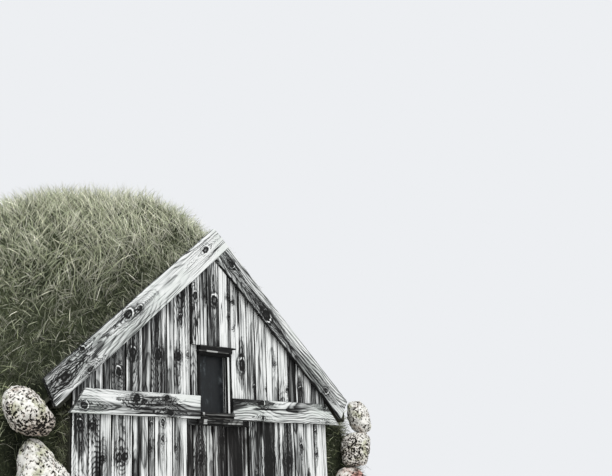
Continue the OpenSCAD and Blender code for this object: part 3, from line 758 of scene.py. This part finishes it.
def buildSill(look):
    low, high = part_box("window_sill")
    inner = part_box("window_head")
    planks = newPlanks(64)
    addBeam(planks, low, (high.x, frontY, high.z), tone=0.55, contrast=1.4, edgeWave=3 * mm, bevel=5 * mm)
    addBeam(planks, low, (low.x + look["bleachedSill"], frontY, high.z), tone=-0.25, heartDark=0.0,
            proud=2 * mm, bevel=4 * mm, ragged=8 * mm)
    addBeam(planks, (inner[0].x, frontY, low.z), (inner[1].x, high.y, high.z), tone=0.5)
    finishPlanks(planks, "worn_window_sill", "window_sill", dampAndShadedWood)
    ledgeLow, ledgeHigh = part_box("window_ledge")
    front, back, bandZ = ledgeLow.y, ledgeHigh.y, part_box("band_left")[0].z
    planks = newPlanks(65)
    addBeam(planks, (low.x, front, bandZ), (high.x, back, ledgeHigh.z), tone=0.6)
    addBeam(planks, ledgeLow, (ledgeHigh.x, back, bandZ - 1 * mm), tone=0.35, edgeWave=3 * mm,
            bevel=5 * mm, knots=[(0.01, 9 * mm, -0.1)])
    for left, right, hang, tone in look["ledgeSplinters"]:
        addBeam(planks, (left, front, bandZ - (6 + hang) * mm), (right, back, bandZ - 5 * mm), tone=tone,
                proud=2 * mm, bevel=2 * mm, edgeWave=4 * mm, ragged=16 * mm)
    finishPlanks(planks, "worn_window_ledge", "window_ledge", dampAndShadedWood)


buildHood(windowTimber)
buildWindowFrame(windowTimber)
buildSill(windowTimber)


# Old window glass, filmed with dust on the inside: dark, as painted shade of the unlit room behind it,
# with a dull sheen and a pale haze in places
windowGlass = {
    "tones": [(0.0, "#14171a"), (0.5, "#24282b"), (1.0, "#5a6064")],
    "haze": (24, 24, 16),  # blotches a metre, so one is about 40 mm wide
    "runs": (60, 60, 5),  # streaks a metre down the pane, so one is about 17 mm wide
    "dullness": (0.3, 0.7),
    "ior": 1.5,
}


def dustyGlass(look):
    material, add = newMaterial("dusty window glass")
    where = add("TexCoord", out="Object")
    spot = add("VectorMath MULTIPLY", (where, look["haze"]))
    haze = add("TexNoise", {"Vector": spot, "Scale": 1.0, "Detail": 5.0, "Roughness": 0.65})
    spot = add("VectorMath MULTIPLY", (where, look["runs"]))
    runs = add("TexNoise", {"Vector": spot, "Scale": 1.0, "Detail": 3.0})
    runs = add("MapRange", (runs, 0.3, 0.7, 0.4, 1.0))
    film = add("MapRange", (haze, 0.42, 0.7))
    dust = add("Math MULTIPLY", (film, runs))
    # Dark base colour: painted shade of the room behind the glass, under the dust
    color = add("ValToRGB", (dust,), stops=look["tones"])
    dull = add("MapRange", (haze, 0.35, 0.65, *look["dullness"]))
    giveSurface(add, {"Base Color": color, "Roughness": dull, "IOR": look["ior"],
                      "Specular IOR Level": 0.3})
    return material


dress("window_pane", dustyGlass(windowGlass))


# Sawn timber that has aged under the roof: brown-grey, dry, with saw marks across its grain, and dark
# grey-green near the front, where its ends reach the weather: partly damp and partly painted shade
frameTimber = {
    "tones": [(0.0, "#938775"), (0.35, "#776b5b"), (0.65, "#544a3e"), (1.0, "#2c2620")],
    "dampAndShade": "#3c3e36",
    "darkFrontReach": (0.3, 0.62),  # metres in from the front
    "grainAcross": 110,  # streaks a metre, so one is about 9 mm wide
    "grainAlong": 3,
    "patches": 4.0,  # a metre
    "sawScale": 130 / (2 * math.pi),  # a saw mark every 15 mm, coarser than real ones so that it shows
    "roughness": 0.85,
    "reliefDepth": 3 * mm,
}


def sawnTimber(name, look, along):  # along is the axis of the grain, or rafter for the roof's pitch
    material, add = newMaterial(name)
    where = add("TexCoord", out="Object")
    x, y, z = add("SeparateXYZ", (where,), out=None)
    if along == "rafter":
        folded = add("Math ABSOLUTE", (x,))
        folded = add("CombineXYZ", (folded, y, z))
        where = add("Mapping", {"Vector": folded, "Rotation": (0, -math.atan(roofSlope), 0)})
        along = "x"
    scale = tuple(look["grainAlong"] if axis == along else look["grainAcross"] for axis in "xyz")
    grain = add("VectorMath MULTIPLY", (where, scale))
    grain = add("TexNoise", {"Vector": grain, "Scale": 1.0, "Detail": 4.0, "Roughness": 0.6})
    patch = add("TexNoise", {"Vector": where, "Scale": look["patches"], "Detail": 3.0})
    marks = add("TexWave", {"Vector": where, "Scale": look["sawScale"], "Distortion": 1.5, "Detail": 1.0},
                out="Fac", bands_direction=along.upper())
    worn = add("MapRange", (patch, 0.3, 0.7, 0.0, 0.4))
    darkness = add("MapRange", (grain, 0.3, 0.7))
    darkness = add("Math MULTIPLY_ADD", (darkness, 0.6, worn))
    color = add("ValToRGB", (darkness,), stops=look["tones"])
    # Blended to the dark grey-green near the front: partly damp, partly painted shade
    near, far = look["darkFrontReach"]
    dampAndShade = add("Math MULTIPLY_ADD", (patch, 0.3, y))
    dampAndShade = add("MapRange", (dampAndShade, frontY + near, frontY + far, 1.0, 0.0))
    dampAndShade = add("Math MULTIPLY_ADD", (grain, -0.15, dampAndShade))
    color = add("Mix", {0: dampAndShade, 6: color, 7: look["dampAndShade"]}, out=2, data_type="RGBA")
    height = add("Math MULTIPLY_ADD", (marks, 0.35, grain))
    giveSurface(add, {"Base Color": color, "Roughness": look["roughness"], "Specular IOR Level": 0.3},
                height, 0.6, look["reliefDepth"])
    return material


frameNodes = {
    "z": ["door_jamb_left", "door_jamb_right", "corner_post_left", "corner_post_right", "wall_posts"],
    "x": ["door_lintel", "threshold", "collars", "door_ledges"],
    "y": ["wall_plate_left", "wall_plate_right", "ridge_board", "roof_boarding_left",
          "roof_boarding_right"],
    "rafter": ["rafters_outer", "rafters_inner"],
}
for along, names in frameNodes.items():
    timber = sawnTimber("sawn frame timber " + along, frameTimber, along)
    for name in names:
        dress(name, timber)
print("window and frame")


# Door planks, darker than the wall boards as painted shade of their recess under the sill, with one pale
# strip between two of them
doorPlanks = [
    board(-279, -193, 0.55),
    board(-187, -58, 0.05, 1.4, (-122, 36), lean=12, heartDark=0.5,
          knots=[(-117, 1457, 17), (-130, 760, 18)]),
    board(-53, 9, -0.22, 0.8, (-20, 4)),
    board(16, 148, 0.08, 1.2, (85, 40), knots=[(112, 1602, 13), (70, 980, 15)]),
    board(154, 334, 0.5, 0.7, (245, 40), knots=[(240, 1180, 14)]),
    board(340, 379, 0.0, 0.7),
]
low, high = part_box("door_leaf")
planks = newPlanks(71)
addBoards(planks, doorPlanks, low.z, high.z, placeOf((0, low.y, 0), (0, 0, 1)), thickness=high.y - low.y)
finishPlanks(planks, "door_planks", "door_leaf", doorWood, "door")


# Hand-forged iron, rusted through its scale: brown-black and dull, orange where rain reaches it
forgedIron = {
    "tones": [(0.3, "#1f1b19"), (0.48, "#3a2a22"), (0.58, "#5d3a27"), (0.75, "#7d4c2c")],
    "rust": 45.0,  # patches a metre, so one is about 22 mm wide
    "pitting": 260.0,  # pits a metre, so one every 4 mm
    "metallic": 0.35,
    "dullness": (0.5, 0.9),
    "reliefDepth": 2 * mm,
}


def rustyIron(look):
    material, add = newMaterial("rusty forged iron")
    where = add("TexCoord", out="Object")
    rust = add("TexNoise", {"Vector": where, "Scale": look["rust"], "Detail": 5.0, "Roughness": 0.65})
    fine = add("TexNoise", {"Vector": where, "Scale": look["pitting"], "Detail": 3.0})
    color = add("ValToRGB", (rust,), stops=look["tones"])
    dull = add("MapRange", (rust, 0.3, 0.7, *look["dullness"]))
    height = add("Math MULTIPLY_ADD", (fine, 0.4, rust))
    giveSurface(add, {"Base Color": color, "Metallic": look["metallic"], "Roughness": dull}, height, 0.7,
                look["reliefDepth"])
    return material


iron = rustyIron(forgedIron)
dress("door_straps", iron)
dress("door_pintles", iron)
dress("door_pull", sawnTimber("worn door pull", {**frameTimber, "dampAndShade": "#6b665c"}, "z"))
print("door")


# Granite boulders crusted with cream-white lichen: pale crust, black pits, brown bare stone, mossy edges
boulderStone = {
    "crust": "#fdfbf6",
    "crustShade": "#ebe6da",
    "bare": "#6f6357",
    "dark": "#1b1815",
    "moss": "#a9ae79",
    "rust": "#a08471",
    "pink": "#d3a59c",
    "pits": 58.0,  # a metre, so one every 17 mm
    "patches": 7.0,
    "grit": 190.0,  # a metre, so one every 5 mm, coarser than real grit so that it shows
    "roughness": 0.92,
    "reliefDepth": 6 * mm,
}


def lichenStone(look):
    material, add = newMaterial("lichen-crusted granite")
    where = add("TexCoord", out="Object")
    shade = add("Attribute", out="Vector", attribute_name="shade")
    hollow, pink, brown = add("SeparateXYZ", (shade,), out=None)
    crust, patch, grit = [
        add("TexNoise", {"Vector": where, "Scale": scale, "Detail": 3.0, "Roughness": 0.6})
        for scale in (look["pits"], look["patches"], look["grit"])]
    worn = add("MapRange", (patch, 0.35, 0.65, 0.07, -0.06))
    bare = add("Attribute", out="Fac", attribute_name="bare")
    level = crust
    for part, share in ((grit, 0.14), (worn, 1.0), (brown, -0.05), (bare, -1.0)):
        level = add("Math MULTIPLY_ADD", (part, share, level))
    color = add("ValToRGB", (level,), stops=[(0.48, look["dark"]), (0.505, look["bare"]),
                                             (0.52, look["crustShade"]), (0.55, look["crust"])])
    moved = add("VectorMath ADD", (where, (3.1, 5.7, 1.3)))
    tint = add("TexNoise", {"Vector": moved, "Scale": 9.0, "Detail": 3.0, "Roughness": 0.6})
    mossy = add("MapRange", (tint, 0.54, 0.66, 0.0, 0.6))
    rusty = add("MapRange", (tint, 0.42, 0.32, 0.0, 0.6))
    rusty = add("Math MULTIPLY_ADD", (brown, 0.5, rusty))
    pinkish = add("MapRange", (patch, 0.35, 0.6))
    pinkish = add("Math MULTIPLY", (pinkish, pink))
    for share, tone in ((mossy, "moss"), (rusty, "rust"), (pinkish, "pink")):
        color = add("Mix", {0: share, 6: color, 7: look[tone]}, out=2, data_type="RGBA",
                    blend_type="MULTIPLY")
    color = add("Mix", {0: hollow, 6: color, 7: look["dark"]}, out=2, data_type="RGBA")
    height = add("Math MULTIPLY_ADD", (grit, 0.3, crust))
    giveSurface(add, {"Base Color": color, "Roughness": look["roughness"], "Specular IOR Level": 0.25},
                height, 1.0, look["reliefDepth"])
    return material


def solidsOf(node):  # the separate solids of a CAD node, lowest first, as search trees
    work = bmesh.new()
    work.from_mesh(nodes[node].data)
    bmesh.ops.remove_doubles(work, verts=work.verts, dist=0.05 * mm)
    waiting, solids = set(work.verts), []
    while waiting:
        ready, group = [waiting.pop()], []
        while ready:
            vert = ready.pop()
            group.append(vert)
            for edge in vert.link_edges:
                other = edge.other_vert(vert)
                if other in waiting:
                    waiting.remove(other)
                    ready.append(other)
        place = {vert: index for index, vert in enumerate(group)}
        faces = [[place[v] for v in face.verts] for face in work.faces if face.verts[0] in place]
        points = [vert.co.copy() for vert in group]
        centre = (Vector(map(min, zip(*points))) + Vector(map(max, zip(*points)))) / 2
        solids.append((centre, BVHTree.FromPolygons(points, faces)))
    work.free()
    return sorted(solids, key=lambda solid: solid[0].z)


# Stains, lowest stone first: how pink it is, how brown its lower right, and how little crust it has
boulderRows = {
    "left": {"seed": 5.1, "stains": [(0.3, 0.0, 0.0), (0.0, 0.2, 0.0), (0.0, 0.3, -0.018),
                                     (0.1, 1.0, 0.026)]},
    "right": {"seed": 17.7, "stains": [(0.2, 0.0, 0.0), (0.3, 0.0, 0.0), (1.0, 0.2, 0.02),
                                       (0.1, 0.3, 0.055), (0.0, 0.0, 0.012)]},
}
boulderShape = {
    "brokenFaces": 9,
    "faceCut": (0.9, 0.99),  # how much of the stone is left under a broken face
    "lumps": 7,  # a metre
    "lumpHeight": 16 * mm,
    "hollows": 40,  # a metre
    "hollowSize": 0.34,
    "grainHeight": 6 * mm,
    "pitDepth": 9 * mm,
    "inView": 1.25,  # stones above this height are made finer
}


def addBoulder(boulders, centre, solid, detail, stain):
    look = boulderShape
    seed = boulders["count"] * 11.3 + boulders["seed"]
    boulders["count"] += 1
    rng = np.random.default_rng(int(seed * 10))
    work = bmesh.new()
    bmesh.ops.create_icosphere(work, subdivisions=detail, radius=1.0)
    directions = np.array([vert.co.normalized() for vert in work.verts])
    edges, faces = [np.array([[v.index for v in part.verts] for part in parts])
                    for parts in (work.edges, work.faces)]
    work.free()
    reach = np.array([solid.ray_cast(centre, Vector(d))[3] or 0.1 for d in directions])

    # Broken faces: planes that each take off a slice, and are then worn round
    for _ in range(look["brokenFaces"]):
        plane = rng.normal(size=3)
        plane /= np.linalg.norm(plane)
        facing = directions @ plane
        outer = (reach * facing).max() * rng.uniform(*look["faceCut"])
        reach = np.where(facing > 0.15, np.minimum(reach, outer / np.maximum(facing, 0.15)), reach)
    links = np.bincount(edges.ravel(), minlength=len(reach))
    for _ in range(2 + 3 * (detail - 3)):
        total = np.zeros(len(reach))
        np.add.at(total, edges[:, 0], reach[edges[:, 1]])
        np.add.at(total, edges[:, 1], reach[edges[:, 0]])
        reach = 0.5 * reach + 0.5 * total / links
    boulders["faces"] += (faces + len(boulders["verts"])).tolist()
    pink, brown, bare = stain
    for direction, out in zip(directions, reach):
        point = Vector(direction * out) + Vector((seed, 0, 0))
        lumps = noise.fractal(point * look["lumps"], 0.9, 2.1, 3)
        grains = noise.fractal(point * look["hollows"], 0.8, 2.2, 3)
        away = noise.voronoi(point * look["hollows"])[0][0]
        pit = max(0.0, look["hollowSize"] - away) / look["hollowSize"]
        out = out + look["lumpHeight"] * lumps + look["grainHeight"] * grains - look["pitDepth"] * pit
        x, y, z = centre + Vector(direction * out)
        boulders["verts"].append((x, y, max(z, 0.0)))
        low = max(0.0, -direction[2] + 0.5 * direction[0])
        boulders["shade"].append((min(1.0, 1.5 * pit + max(0.0, -0.5 * grains)), pink, brown * low))
        boulders["bare"].append(bare)


stoneFinish = lichenStone(boulderStone)
for side, row in boulderRows.items():
    boulders = {"verts": [], "faces": [], "shade": [], "bare": [], "count": 0, "seed": row["seed"]}
    for (centre, solid), stain in zip(solidsOf("boulders_" + side), row["stains"]):
        addBoulder(boulders, centre, solid, 5 if centre.z > boulderShape["inView"] else 4, stain)
    layers = {"shade": boulders["shade"], "bare": boulders["bare"]}
    mesh = newMesh("lichen_boulders_" + side, boulders["verts"], boulders["faces"], layers)
    finishPiece(mesh, stoneFinish, "boulders_" + side)
print("boulders")


# Turf: matted roots and dead stems under the living grass, dark green-brown and rough
turfSoil = {
    "tones": [(0.35, "#12150e"), (0.58, "#2a2f22"), (0.74, "#454b37"), (0.9, "#6c7056")],
    "matting": (60, 60, 26),  # strands a metre across, along and up, so one is about 17 mm wide
    "bends": 3.0,  # a metre
    "patches": 2.5,
    "lighterAwayFromFront": 0.17,  # how much lighter it is away from the front, whose darker soil is painted shade
    "darkFrontReach": (0.8, 2.8),  # metres in from the front
    "roughness": 0.95,
    "reliefDepth": 20 * mm,
}


def turfMat(look):
    material, add = newMaterial("matted turf")
    where = add("TexCoord", out="Object")
    bend = add("TexNoise", {"Vector": where, "Scale": look["bends"]}, out="Color")
    where = add("VectorMath MULTIPLY_ADD", (bend, (0.3, 0.3, 0.3), where))
    spot = add("VectorMath MULTIPLY", (where, look["matting"]))
    strands = add("TexNoise", {"Vector": spot, "Scale": 1.0, "Detail": 4.0, "Roughness": 0.65})
    patch = add("TexNoise", {"Vector": where, "Scale": look["patches"], "Detail": 3.0})
    tone = add("Math MULTIPLY", (strands, 0.75))
    tone = add("Math MULTIPLY_ADD", (patch, 0.5, tone))
    # Darker near the front: painted shade
    near, far = look["darkFrontReach"]
    y = add("SeparateXYZ", (where,), out=1)
    lighterAwayFromFront = add("MapRange", (y, frontY + near, frontY + far, 0.0, look["lighterAwayFromFront"]))
    tone = add("Math ADD", (tone, lighterAwayFromFront))
    color = add("ValToRGB", (tone,), stops=look["tones"])
    giveSurface(add, {"Base Color": color, "Roughness": look["roughness"], "Specular IOR Level": 0.15},
                strands, 1.0, look["reliefDepth"])
    return material


turfNodes = ["turf_wall_left", "turf_wall_right", "turf_back", "turf_roof_left", "turf_roof_right",
             "verge_sods_left", "verge_sods_right"]
turfFinish = turfMat(turfSoil)
for node in turfNodes:
    dress(node, turfFinish)


# Late-summer fescue: fine, waxy green and olive blades with bleached dead straw standing among them
grassBlade = {
    "kinds": [(0.0, "#6b7156"), (0.3, "#979d7a"), (0.55, "#b9c1a2"), (0.8, "#e2e1c9"), (1.0, "#faf8ea")],
    "foot": 0.25,  # how dark a blade is at its foot, where the others shade it
    "roughness": 0.6,
}


def grassFinish(look):
    material, add = newMaterial("late-summer fescue")
    blade = add("Attribute", out="Vector", attribute_name="blade")
    tone, along, kind = add("SeparateXYZ", (blade,), out=None)
    color = add("ValToRGB", (kind,), stops=look["kinds"])
    light = add("MapRange", (along, 0.0, 0.6, look["foot"], 1.0))
    light = add("Math MULTIPLY", (light, tone))
    color = add("VectorMath SCALE", {0: color, "Scale": light})
    giveSurface(add, {"Base Color": color, "Roughness": look["roughness"], "Specular IOR Level": 0.3})
    return material


# Blades are 6 to 8 mm wide, twice as wide as real ones, so that they show. Levels are where along a
# blade its pairs of points lie, and straw is how much of the crown's grass is dead.
grassCover = {
    # The short under-layer has half the tone of the long blades: painted shade beneath them
    "short": {"count": 84000, "length": (0.06, 0.13), "width": 8 * mm, "levels": (0.0, 0.5, 1.0),
              "straw": 0.15, "tone": 0.5},
    "long": {"count": 122000, "length": (0.13, 0.30), "width": 6.2 * mm, "levels": (0.0, 0.35, 0.7, 1.0),
             "straw": 0.5, "tone": 1.08},
}
grassLie = {
    "tuft": 0.16,  # metres from tuft to tuft
    "rooted": 0.02,  # how deep a blade starts in the turf
    # How it starts: square to the turf, upright, away from its tuft's middle, and tilted any way
    "square": 0.5,
    "upright": 0.7,
    "spread": 0.3,
    "tilt": (0.2, 1.3),
    # How it bends over: with the wind's swirl, its own tilt, out of its tuft and down the slope
    "swirl": 0.8,
    "ownWay": 0.7,
    "outward": 0.6,
    "downhill": 0.4,
    "curl": (0.1, 0.6),
    "verge": 0.3,  # metres behind the bargeboards where grass is short and lies back
    "vergeRight": 0.9,  # and on the right, above the boulders
    "rightFrom": 2.0,  # above this height
    "highest": 0.115,  # blades on the crown stay this near to the turf
    "furthest": 0.17,  # and no blade reaches further out than this
}
grassTone = {
    "low": 0.12,  # low down at the front: painted shade
    "back": 0.36,  # how much lighter it is low down at the back
    "crown": 1.05,
    "vary": (0.6, 1.25),
    # Blades that catch the light: their share and brightness low down, and how much less on the crown
    "glints": (0.2, 0.07),
    "glintTone": (5.0, 3.6),
    # How much lighter low grass is beside the boards: painted light on grass that lies in shade
    "besideBoards": 2.4,
    "underEave": 0.5,  # how much darker it is close behind the bargeboards: painted shade
}


# Corners of the triangles that grass grows on, and a search tree of all that can cover them. Sods lie
# against the outer sides of the corner posts, so those are counted as turf, and closely grown.
def turfSurface():
    corners, points, faces = [], [], []
    for name, node in nodes.items():
        mesh = node.data
        mesh.calc_loop_triangles()
        start = len(points)
        triangles = [tuple(t.vertices) for t in mesh.loop_triangles]
        if "boulders" not in name:
            points += [v.co.copy() for v in mesh.vertices]
            faces += [tuple(start + i for i in t) for t in triangles]
        if name in turfNodes:
            corners += [[mesh.vertices[i].co[:] for i in t] for t in triangles]
        if name.startswith("corner_post"):
            sides = [t.vertices for t in mesh.loop_triangles if t.normal.x * mesh.vertices[0].co.x > 0.5]
            corners += [[mesh.vertices[i].co[:] for i in t] for t in sides] * 5
    return np.array(corners), BVHTree.FromPolygons(points, faces)


# Points spread over the turf where it meets the open air, twice as close at the front as at the back
def openSpots(rng, count):
    corners, covers = turfSurface()
    cross = np.cross(corners[:, 1] - corners[:, 0], corners[:, 2] - corners[:, 0])
    area = np.linalg.norm(cross, axis=1) / 2
    normals = cross / np.maximum(2 * area, 1e-12)[:, None]
    area = np.where((normals[:, 2] > -0.3) & (area > 1e-9), area, 0.0)
    area *= 1 + np.clip(1 - (corners[:, :, 1].mean(axis=1) - frontY) / 3.5, 0, 1)
    chosen = rng.choice(len(area), size=count, p=area / area.sum())
    a, b = rng.random((2, count))
    flip = a + b > 1
    a, b = np.where(flip, 1 - a, a), np.where(flip, 1 - b, b)
    tri = corners[chosen]
    spots = tri[:, 0] + a[:, None] * (tri[:, 1] - tri[:, 0]) + b[:, None] * (tri[:, 2] - tri[:, 0])
    facing = normals[chosen]
    kept = [covers.ray_cast(Vector(p + 0.004 * n), Vector(n), 3.5)[0] is None
            for p, n in zip(spots, facing)]
    return spots[kept], facing[kept]


def unit(vectors):
    return vectors / np.maximum(np.linalg.norm(vectors, axis=1), 1e-9)[:, None]


def waves(spots, scale, shift):  # soft hills and hollows between -1 and 1
    x, y, z = (spots * scale + shift).T
    return (np.sin(x + 1.3 * np.sin(0.7 * y + 0.5 * z))
            + np.sin(1.1 * y + 1.7 * np.sin(0.9 * z + 0.6 * x))
            + np.sin(1.2 * z + 1.1 * np.sin(0.8 * x + 0.4 * y))) / 3


def scramble(cells, salt):  # one number between 0 and 1 for each cell
    mixed = np.sin(cells @ np.array([12.9898, 78.233, 37.719]) + salt * 4.1414) * 43758.5453
    return mixed - np.floor(mixed)


# A blade starts between upright and square to the turf, tilted any way, and then bends over with its
# tuft, the wind's swirl and the slope. Gives its points from foot to tip, in pairs.
def bladeLines(rng, spots, facing, cells, look):
    lie, total = grassLie, len(spots)
    down = unit(np.array([0, 0, -1.0]) + facing * facing[:, 2:3] + 1e-6)
    side = np.cross(facing, down)
    steep = np.sqrt(np.clip(1 - facing[:, 2] ** 2, 0, 1))
    up = np.array([0, 0, 1.0])
    strayed = np.stack([scramble(cells, salt) - 0.5 for salt in (1, 2, 3)], 1)
    middle = (cells + 0.5 + 0.3 * strayed) * lie["tuft"]
    outward = (spots - middle) / lie["tuft"]
    outward -= facing * (outward * facing).sum(1)[:, None]
    angle = (2.6 * waves(spots, 1.7, 3.0) + 1.3 * waves(spots, 6.0, 8.0)
             + 2.0 * (scramble(cells, 5) - 0.5))
    swirl = down * np.cos(angle)[:, None] + side * np.sin(angle)[:, None]
    turn = rng.uniform(0, 2 * math.pi, total)
    tilt = down * np.cos(turn)[:, None] + side * np.sin(turn)[:, None]
    start = unit(lie["square"] * facing + lie["upright"] * up
                 + tilt * rng.uniform(*lie["tilt"], total)[:, None] + lie["spread"] * outward)
    lean = unit(lie["swirl"] * swirl + lie["ownWay"] * tilt + lie["outward"] * outward
                + down * (lie["downhill"] * steep)[:, None])
    shortest, longest = look["length"]
    grown = 0.4 * scramble(cells, 9) + 0.6 * rng.random(total)
    length = shortest + (longest - shortest) * grown

    # Close behind the bargeboards the grass is short and lies back, most of all on the right
    behind = spots[:, 1] - frontY
    verge = np.clip(behind / lie["verge"], 0.0, 1.0)
    length *= (0.5 + 0.5 * verge) * (0.85 + 0.35 * waves(spots, 2.2, 4.0))
    onRight = (spots[:, 0] > 0) & (spots[:, 2] > lie["rightFrom"])
    length *= np.where(onRight, 0.3 + 0.7 * np.clip(behind / lie["vergeRight"], 0.0, 1.0), 1.0)
    for way in (start, lean):
        way[:, 1] += 1.2 * (1 - verge) * np.clip(-way[:, 1], 0, 1)
    curl = rng.uniform(*lie["curl"], total)[:, None]
    foot = spots - lie["rooted"] * facing
    bend = foot + length[:, None] * (0.5 * start + 0.1 * curl * lean)
    tip = foot + length[:, None] * (0.85 * start + 0.6 * curl * lean - 0.2 * curl * up)
    room = np.maximum(cadHigh.z + lie["highest"] - foot[:, 2], 0.02)
    share = np.minimum(1.0, room / np.maximum(np.maximum(bend[:, 2], tip[:, 2]) - foot[:, 2], 0.001))
    for end in (bend, tip):
        end[:, 2] = foot[:, 2] + (end[:, 2] - foot[:, 2]) * share
    flat = unit(np.cross(start, facing) + facing * rng.normal(0, 0.4, total)[:, None]
                + tilt * rng.normal(0, 0.2, total)[:, None])
    width = look["width"] * rng.uniform(0.6, 1.2, total)
    rows = []
    for level in look["levels"]:
        centre = (1 - level) ** 2 * foot + 2 * level * (1 - level) * bend + level ** 2 * tip
        half = (0.5 * width * (1 - level) ** 0.7)[:, None] * flat
        rows += [centre - half, centre + half] if level < 1 else [centre]
    verts = np.stack(rows, 1)
    for axis in range(3):
        verts[:, :, axis] = np.clip(verts[:, :, axis], cadLow[axis] - lie["furthest"],
                                    cadHigh[axis] + lie["furthest"])
    verts[:, :, 2] = np.maximum(verts[:, :, 2], 2 * mm)
    return verts


# Bleached on the crown, greener low down, with patches of dead grass. The tone is painted light and shade:
# darker low down, lighter up towards the crown
def bladeTones(rng, spots, cells, look):
    total, shade, behind = len(spots), grassTone, spots[:, 1] - frontY
    # Height up towards the crown; the tone rises with it, as painted light from above
    rise = np.clip((spots[:, 2] - 1.3) / 2.1, 0.0, 1.0)
    rise = rise * rise * (3 - 2 * rise)
    patches = 0.5 + 0.5 * waves(spots, 2.6, 1.0)
    tuft = scramble(cells, 9)
    kind = 0.22 + 0.25 * rise + 0.2 * patches + 0.16 * (tuft - 0.5) + rng.normal(0, 0.12, total)
    straw = rng.random(total) < look["straw"] * (0.3 + 0.7 * rise)
    kind = np.where(straw, rng.uniform(0.6, 1.0, total), kind)
    # Darkest low down at the front, lighter at the back: painted shade
    low = shade["low"] + shade["back"] * np.clip((behind - 0.8) / 2.0, 0, 1)
    tone = look["tone"] * (low + (shade["crown"] - low) * rise) * (1 + 0.2 * waves(spots, 1.9, 5.0))
    tone *= rng.uniform(*shade["vary"], total)
    share, less = shade["glints"]
    glint = rng.random(total) < share - less * rise
    bright, less = shade["glintTone"]
    tone *= np.where(glint, bright - less * rise, 1.0)
    # Lighter low down beside the boards: painted light
    besideBoards = (behind < 0.35) & (spots[:, 2] < 1.9)
    tone *= np.where(besideBoards, shade["besideBoards"], 1.0)
    # Darker close behind the bargeboards: painted shade under them
    underEave = np.clip((3.3 - spots[:, 2]) / 0.6, 0, 1) * np.clip((spots[:, 2] - 1.7) / 0.4, 0, 1)
    tone *= 1 - shade["underEave"] * np.clip(1 - behind / 0.7, 0, 1) * underEave
    return tone, np.clip(kind, 0, 1)


def makeBlades(name, verts, alongs, tone, kind):
    total, corner = verts.shape[:2]
    faces = []
    for step in range(0, corner - 3, 2):
        faces += [(step, step + 1, step + 3), (step, step + 3, step + 2)]
    faces.append((corner - 3, corner - 2, corner - 1))
    triangles = np.arange(total)[:, None, None] * corner + np.array(faces)
    blade = np.stack(np.broadcast_arrays(tone[:, None], alongs, kind[:, None]), 2)
    mesh = newMesh(name, verts.reshape(-1, 3), triangles.reshape(-1, 3), {"blade": blade.reshape(-1, 3)})
    finishPiece(mesh, grassMaterial)


def growGrass(name, look, seed):
    rng = np.random.default_rng(seed)
    spots, facing = openSpots(rng, round(look["count"] * 1.9))  # spare ones, as many are covered
    spots, facing = spots[:look["count"]], facing[:look["count"]]
    cells = np.floor(spots / grassLie["tuft"])
    verts = bladeLines(rng, spots, facing, cells, look)
    tone, kind = bladeTones(rng, spots, cells, look)
    alongs = [level for level in look["levels"] for _ in range(2)][:-1]
    quarter = (spots[:, 0] > 0) * 1 + (spots[:, 1] > -0.7) * 2
    for part, partName in enumerate(("front_left", "front_right", "back_left", "back_right")):
        pick = quarter == part
        makeBlades(name + "_" + partName, verts[pick], alongs, tone[pick], kind[pick])
    print(name, len(spots), "blades")


grassMaterial = grassFinish(grassBlade)
for number, (name, look) in enumerate(grassCover.items()):
    growGrass(name + "_grass", look, 101 + number)
